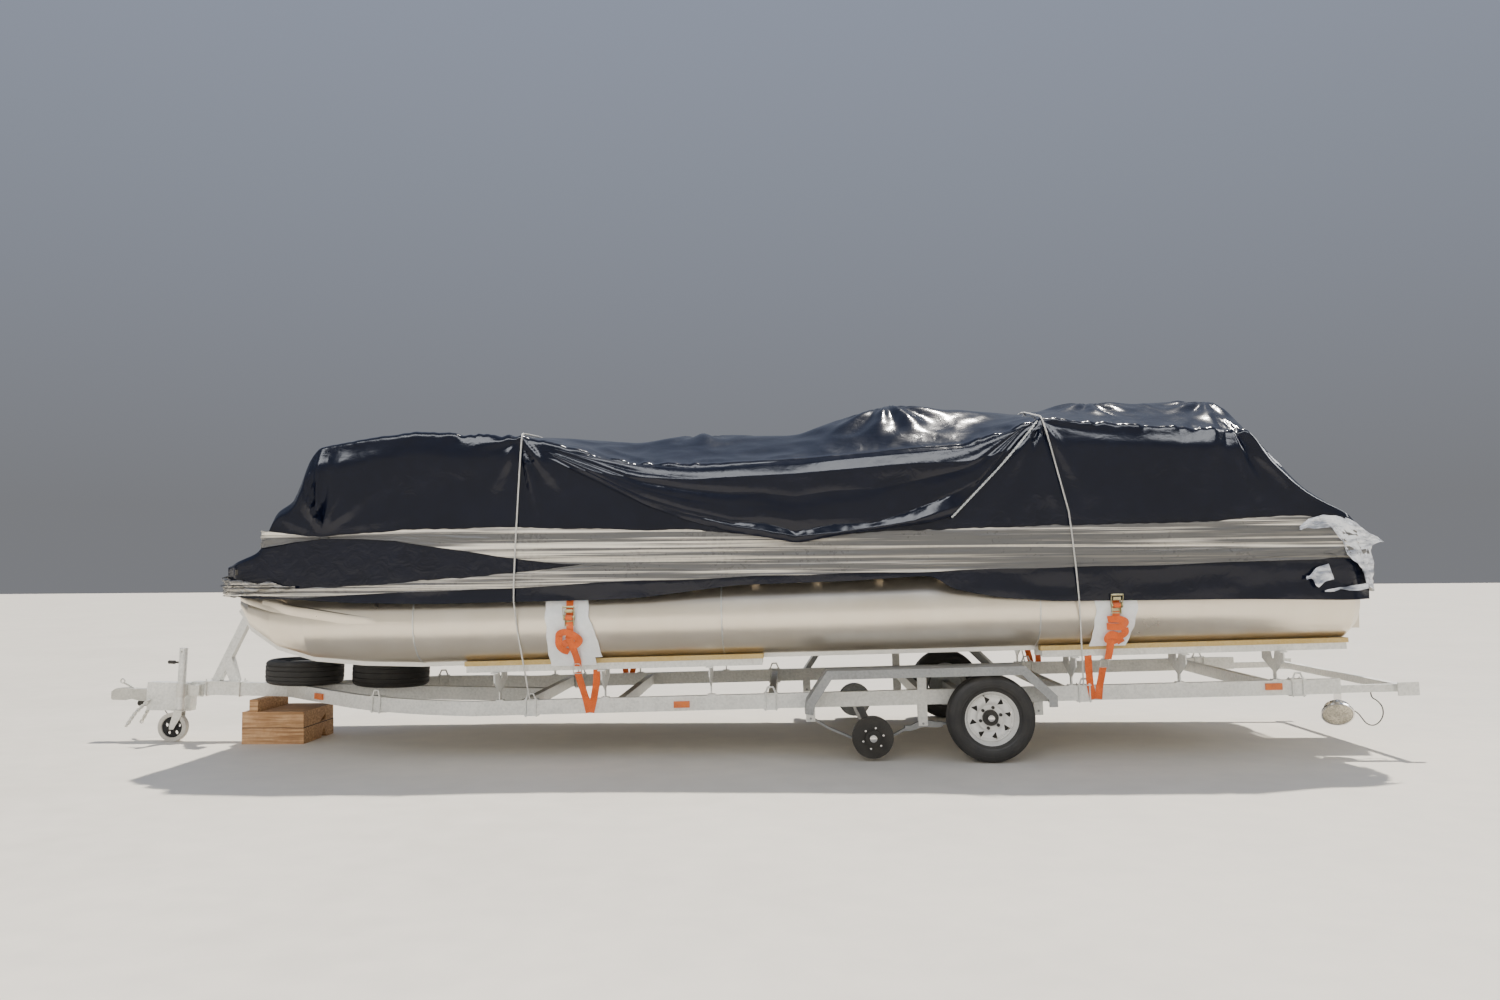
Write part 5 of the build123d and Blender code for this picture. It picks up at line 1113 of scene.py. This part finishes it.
class BOAT_OT_lashings(bpy.types.Operator):
    """Models the white pads, the orange straps with their bunched tails, the ratchets and hooks"""
    bl_idname = "boat.lashings"
    bl_label = "Lashings"

    def execute(self, context):
        width = context.scene.boat_lashing.web
        for side, label in ((-1, "left"), (1, "right")):
            for name, x, high, low, fore, aft in PADS:
                piece = pad_piece(x, high, low, fore, aft, "fold" in name, side)
                own(piece, name + "_" + label, "pad_white", smooth=50)
                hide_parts("strap_pads")
            for name, x, ratchet_height, runs in BANDS:
                web = joined([band_piece(spots, x, side, width) for spots in runs])
                own(web, name + "_" + label, "web_orange", smooth=50)
                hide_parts("ratchet_straps")
                at, up, out = lash_frame(x, ratchet_height, 0.008, side)
                place = Matrix((up.cross(out), up, out)).transposed().to_4x4()
                place.translation = at
                metal = ratchet_piece(place)
                own(metal, name.replace("strap", "ratchet") + "_" + label, "gold_zinc", smooth=35)
                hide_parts("ratchets")
                drum = rod_piece(0.0175, 0.047, DRUM_SPOT, sides=32, bevel=0.002)
                drum.data.transform(place)
                own(drum, name.replace("strap", "drum") + "_" + label, "web_orange", smooth=50)
            for name, x, high, low, half in HOOKS:
                hook = hook_piece(x, high, low, half, side)
                own(hook, name + "_" + label, "zinc", smooth=60)
        return {"FINISHED"}


# Wheels: distances from the axle and places along it, round each section
TYRE_HALF = ((0.2885, 0.0), (0.2885, 0.0165), (0.2815, 0.0175), (0.2815, 0.0245), (0.2885, 0.0255),
             (0.2875, 0.0495), (0.2805, 0.0505), (0.2805, 0.0575), (0.2870, 0.0585), (0.2850, 0.067),
             (0.2790, 0.0765), (0.2700, 0.0845), (0.2580, 0.0900), (0.2490, 0.0922), (0.2475, 0.0912),
             (0.2460, 0.0928), (0.2300, 0.0940), (0.2160, 0.0940), (0.2145, 0.0928), (0.2130, 0.0938),
             (0.2050, 0.0920), (0.1985, 0.0860), (0.1965, 0.0805), (0.1790, 0.0760), (0.1775, 0.0640),
             (0.2000, 0.0660), (0.2400, 0.0800), (0.2700, 0.0700), (0.2745, 0.0400), (0.2745, 0.0))
RIM_SECTION = ((0.1950, 0.0765), (0.1950, 0.0725), (0.1905, 0.0712), (0.1770, 0.0660), (0.1768, 0.0440),
               (0.1720, 0.0370), (0.1600, 0.0180), (0.1580, 0.0100), (0.1580, -0.0330), (0.1700, -0.0430),
               (0.1768, -0.0470), (0.1768, -0.0640), (0.1905, -0.0712), (0.1950, -0.0725), (0.1950, -0.0765),
               (0.1890, -0.0750), (0.1740, -0.0670), (0.1735, -0.0470), (0.1690, -0.0395), (0.1540, -0.0300),
               (0.1540, 0.0080), (0.1570, 0.0210), (0.1690, 0.0400), (0.1730, 0.0460), (0.1735, 0.0660),
               (0.1890, 0.0750), (0.1950, 0.0765))
DISC_SECTION = ((0.1575, 0.0100), (0.1560, 0.0230), (0.1500, 0.0275), (0.1465, 0.0262), (0.1450, 0.0215),
                (0.1425, 0.0205), (0.1400, 0.0230), (0.1340, 0.0255), (0.1120, 0.0250), (0.0980, 0.0190),
                (0.0900, 0.0095), (0.0840, 0.0052), (0.0535, 0.0052), (0.0535, 0.0008), (0.0850, 0.0008),
                (0.0930, 0.0050), (0.1010, 0.0145), (0.1130, 0.0205), (0.1335, 0.0210), (0.1440, 0.0165),
                (0.1520, 0.0165), (0.1535, 0.0080), (0.1575, 0.0100))
# Points round a ring, the counts of the disc's slots and of a hub's studs, their reach from the
# axle, and where the hubs, caps and studs stand
RING_STEPS = 128
SLOTS_IN_DISC, STUDS = 8, 6
SLOT_REACH, STUD_REACH = 0.1215, 0.06985
HUB_Y, CAP_Y, STUD_Y = 1.15, 1.1985, 1.1690
BARE_X, BARE_Z = 0.539, 0.175
# The first stud's turn about the bare hub, on each side
STUD_TURNS = {-1: pi / 12, 1: pi / 4}
# Middles of the stowed wheels, and the way that they face
STOWED = ((-3.23389, 0, 0.51996), (-2.55608, 0, 0.50398))
STOWED_UP = (0.0236, 0, 0.99972)


def tyre_piece():
    """One tyre about the Y axis."""
    half = list(TYRE_HALF)
    return ring_piece(half + [(r, -y) for r, y in half[-2::-1]])


def rim_piece(out):
    """One rim about the Y axis, its slotted disc towards the side out."""
    disc = ring_piece([(r, out * y) for r, y in DISC_SECTION])
    cuts = []
    for n in range(SLOTS_IN_DISC):
        turn = tau / SLOTS_IN_DISC * n + tau / 32
        deselect()
        bpy.ops.mesh.primitive_cylinder_add(vertices=3, radius=0.0265, depth=0.12)
        cut = shaped(bpy.context.object, "BEVEL", width=0.006, segments=4, limit_method="ANGLE",
                     angle_limit=radians(100))
        for change in (Matrix.Diagonal((1.15, 0.85, 1, 1)), Matrix.Rotation(-pi / 2, 4, "Z"),
                       Matrix.Rotation(pi / 2, 4, "X"),
                       Matrix.Rotation(-turn, 4, "Y") @ Matrix.Translation((SLOT_REACH, 0, 0))
                       @ Matrix.Rotation(pi / 2, 4, "Y")):
            cut.data.transform(change)
        cuts.append(cut)
    tool = joined(cuts)
    shaped(disc, "BOOLEAN", object=tool, operation="DIFFERENCE", solver="EXACT")
    bpy.data.objects.remove(tool)
    return joined([ring_piece([(r, out * y) for r, y in RIM_SECTION]), disc])


class BOAT_OT_wheels(bpy.types.Operator):
    """Models the tyres and rims on the rear axle and the two stowed flat on the drawbar"""
    bl_idname = "boat.wheels"
    bl_label = "Wheels"

    def execute(self, context):
        for side, label in ((-1, "left"), (1, "right")):
            body = "wheel_" + label
            place = Matrix.Translation((WHEEL.x, side * HUB_Y, WHEEL.z))
            tyre = tyre_piece()
            tyre.data.transform(place)
            own(tyre, "tyre_worn_" + label, "tyre", body)
            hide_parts("tyre_" + label)
            rim = rim_piece(side)
            rim.data.transform(place)
            own(rim, "rim_painted_" + label, "rim_white", body, 35)
            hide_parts("rim_" + label)
            cap = rod_piece(0.023, 0.014, (WHEEL.x, side * CAP_Y, WHEEL.z), "Y", 48, 0.005)
            own(cap, "hub_cap_" + label, "chrome", body)
            bright = [rod_piece(0.0255, 0.012, (BARE_X, side * CAP_Y, BARE_Z), "Y", 48, 0.005)]
            for n in range(STUDS):
                turn = tau / STUDS * n + STUD_TURNS[side]
                spot = (BARE_X + STUD_REACH * cos(turn), side * STUD_Y, BARE_Z + STUD_REACH * sin(turn))
                bright.append(rod_piece(0.0078, 0.032, spot, "Y", 16, 0.0015))
            bright = joined(bright)
            own(bright, "bare_hub_studs_" + label, "chrome", "bare_hub_" + label)
            valve = rod_piece(0.004, 0.036, (-0.045, side * 0.038, 0.148), "Y", 16)
            valve.data.transform(place)
            own(valve, "valve_" + label, "rubber", body)
        for label, make, slot, node in (("tyres", tyre_piece, "tyre", "stowed_tyres"),
                                        ("rims", lambda: rim_piece(1), "rim_white", "stowed_rims")):
            pair = []
            for spot in STOWED:
                piece = make()
                lean = Vector((0, 1, 0)).rotation_difference(Vector(STOWED_UP)).to_matrix().to_4x4()
                lean.translation = spot
                piece.data.transform(lean)
                pair.append(piece)
            pair = joined(pair)
            own(pair, "stowed_pair_of_" + label, slot, level=False)
            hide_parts(node)
        return {"FINISHED"}


# Routes of the two solids that the cables replace, in millimetres
LAMP_CABLE = ((3790, -962, 246), (3812, -963, 232), (3836, -963, 198), (3862, -962, 160), (3908, -959, 142),
              (3955, -957, 165), (3984, -956, 215), (3980, -955, 272), (3948, -952, 312), (3910, -950, 332),
              (3910, -950, 369))
PLUG_CABLE = ((-5050, 38, 318), (-5050, 88, 318), (-5025, 138, 275), (-4998, 185, 215), (-4975, 230, 145),
              (-4968, 275, 78), (-4980, 318, 38), (-5012, 356, 20), (-5055, 388, 20))
# Cables: the solid replaced, its route, how it is placed, its length and what its far end meets
CABLES = (("lamp_cable", LAMP_CABLE, PARK, 0.4495, "object"),
          ("plug_cable", PLUG_CABLE, Matrix.Translation((SHIFT, 0, 0)), 0.5299, "plug"))

# Nose sections of a pontoon: X, height of its widest place, top and half width, and the edge along the nose
NOSE = np.array(((-2.56, 1.02, 1.30, 0.28), (-2.95, 1.045, 1.30, 0.268), (-3.30, 1.085, 1.30, 0.228),
                 (-3.56, 1.13, 1.298, 0.165), (-3.74, 1.18, 1.29, 0.095), (-3.825, 1.205, 1.26, 0.025)))[::-1]
NOSE_EDGE = ((-3.62, 1.25), (-3.533, 1.226), (-3.417, 1.174), (-3.236, 1.140), (-2.994, 1.097),
             (-2.838, 1.069), (-2.784, 1.052))
WELDS = (-2.53, -0.445, 1.672)


def nose_depth(x, z):
    """How far out from a pontoon's middle its nose lies above its widest place."""
    mid, high, half = (np.interp(x, NOSE[:, 0], NOSE[:, n]) for n in (1, 2, 3))
    rise = high - mid
    radius = (half ** 2 + rise ** 2) / (2 * rise)
    return np.sqrt(np.maximum(radius ** 2 - (np.maximum(z, mid) - high + radius) ** 2, 0))


# A nose edge across its width: how far each point drops, and how far it stands off the nose
EDGE_DROP = (-0.075, -0.045, -0.02, -0.003, 0.001, 0.003, -0.004)
EDGE_STAND = (-0.002, 0.006, 0.011, 0.0145, 0.0135, 0.006, -0.004)


class BOAT_OT_seams(bpy.types.Operator):
    """Models the welds round the pontoons and the raised edges along their noses"""
    bl_idname = "boat.seams"
    bl_label = "Seams"

    def execute(self, context):
        beads, edges = [], []
        for side in (-1, 1):
            for x in WELDS:
                deselect()
                bpy.ops.mesh.primitive_torus_add(
                    location=(x, side * TUBE_Y, TUBE_Z), rotation=(0, pi / 2, 0),
                    major_radius=TUBE_R, minor_radius=0.0060, major_segments=220, minor_segments=8)
                bead = bpy.context.object
                bpy.ops.object.transform_apply(location=True, rotation=True, scale=True)
                spots = np.array([vertex.co for vertex in bead.data.vertices])
                rough = [noise.noise(Vector((0, y * 70, z * 70))) for y, z in spots[:, 1:]]
                spots[:, 0] += 0.0028 * np.array(rough)
                bead.data.vertices.foreach_set("co", spots.reshape(-1))
                beads.append(bead)
            x, z = even_line(smooth_line(NOSE_EDGE, 12), 0.008).T
            fade = np.clip((x[-1] - x) / 0.25, 0.05, 1)
            z = z + np.array(EDGE_DROP)[:, None] * (0.4 + 0.6 * fade)
            y = nose_depth(x, z) + np.array(EDGE_STAND)[:, None] * fade
            edges.append(thicken(sheet_piece(stack(x, side * (TUBE_Y + y), z)), 0.002))
        for name, pieces, slot in (("weld_beads", beads, "aluminium_light"),
                                   ("nose_edges", edges, "aluminium")):
            piece = own(joined(pieces), name, slot, smooth=50)
        return {"FINISHED"}


class BOAT_OT_cables(bpy.types.Operator):
    """Runs the lamp's cable and the trailer's plug cable"""
    bl_idname = "boat.cables"
    bl_label = "Cables"

    def execute(self, context):
        for name, route, place, length, end in CABLES:
            deselect()
            bpy.ops.curve.primitive_nurbs_path_add()
            piece = bpy.context.object
            piece.name = name + "_bent"
            piece.data.splines.clear()
            spline = piece.data.splines.new("NURBS")
            spline.points.add(len(route) - 1)
            spots = [place @ (Vector(spot) / 1000) for spot in route]
            for point, spot in zip(spline.points, spots):
                point.co = (*spot, 1)
            spline.order_u = 3
            spline.use_endpoint_u = True
            spline.resolution_u = 12
            piece.data.dimensions = "3D"
            piece.data.bevel_depth = 0.004
            piece.data.bevel_resolution = 4
            piece.data.use_fill_caps = True
            piece.data.materials.clear()
            piece.data.materials.append(bpy.data.materials["rubber"])
            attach(piece, ROOT)
            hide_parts(name)
        return {"FINISHED"}


class BOAT_PT_panel(bpy.types.Panel):
    """Lists what can be rebuilt and its settings"""
    bl_label = "Boat"
    bl_idname = "BOAT_PT_panel"
    bl_space_type = "VIEW_3D"
    bl_region_type = "UI"
    bl_category = "Boat"

    def draw(self, context):
        for group in ("boat_cover", "boat_film", "boat_lashing", "boat_stage"):
            box = self.layout.box()
            for label in getattr(context.scene, group).bl_rna.properties.keys():
                if label not in ("rna_type", "name"):
                    box.prop(getattr(context.scene, group), label)
        for operator in OPERATORS:
            self.layout.operator(operator.bl_idname)


SETTINGS = {"boat_cover": CoverSettings, "boat_film": FilmSettings, "boat_lashing": LashingSettings,
            "boat_stage": StageSettings}
OPERATORS = (BOAT_OT_finishes, BOAT_OT_stage, BOAT_OT_cover, BOAT_OT_film, BOAT_OT_swag, BOAT_OT_ropes,
             BOAT_OT_lashings, BOAT_OT_wheels, BOAT_OT_seams, BOAT_OT_cables)


def register():
    for name, group in SETTINGS.items():
        bpy.utils.register_class(group)
        setattr(bpy.types.Scene, name, bpy.props.PointerProperty(type=group))
    for item in (*OPERATORS, BOAT_PT_panel):
        bpy.utils.register_class(item)


def unregister():
    for item in (BOAT_PT_panel, *reversed(OPERATORS)):
        bpy.utils.unregister_class(item)
    for name, group in SETTINGS.items():
        delattr(bpy.types.Scene, name)
        bpy.utils.unregister_class(group)


def main():
    register()
    for operator in OPERATORS:
        area, name = operator.bl_idname.split(".")
        getattr(getattr(bpy.ops, area), name)()


if __name__ == "__main__":
    main()
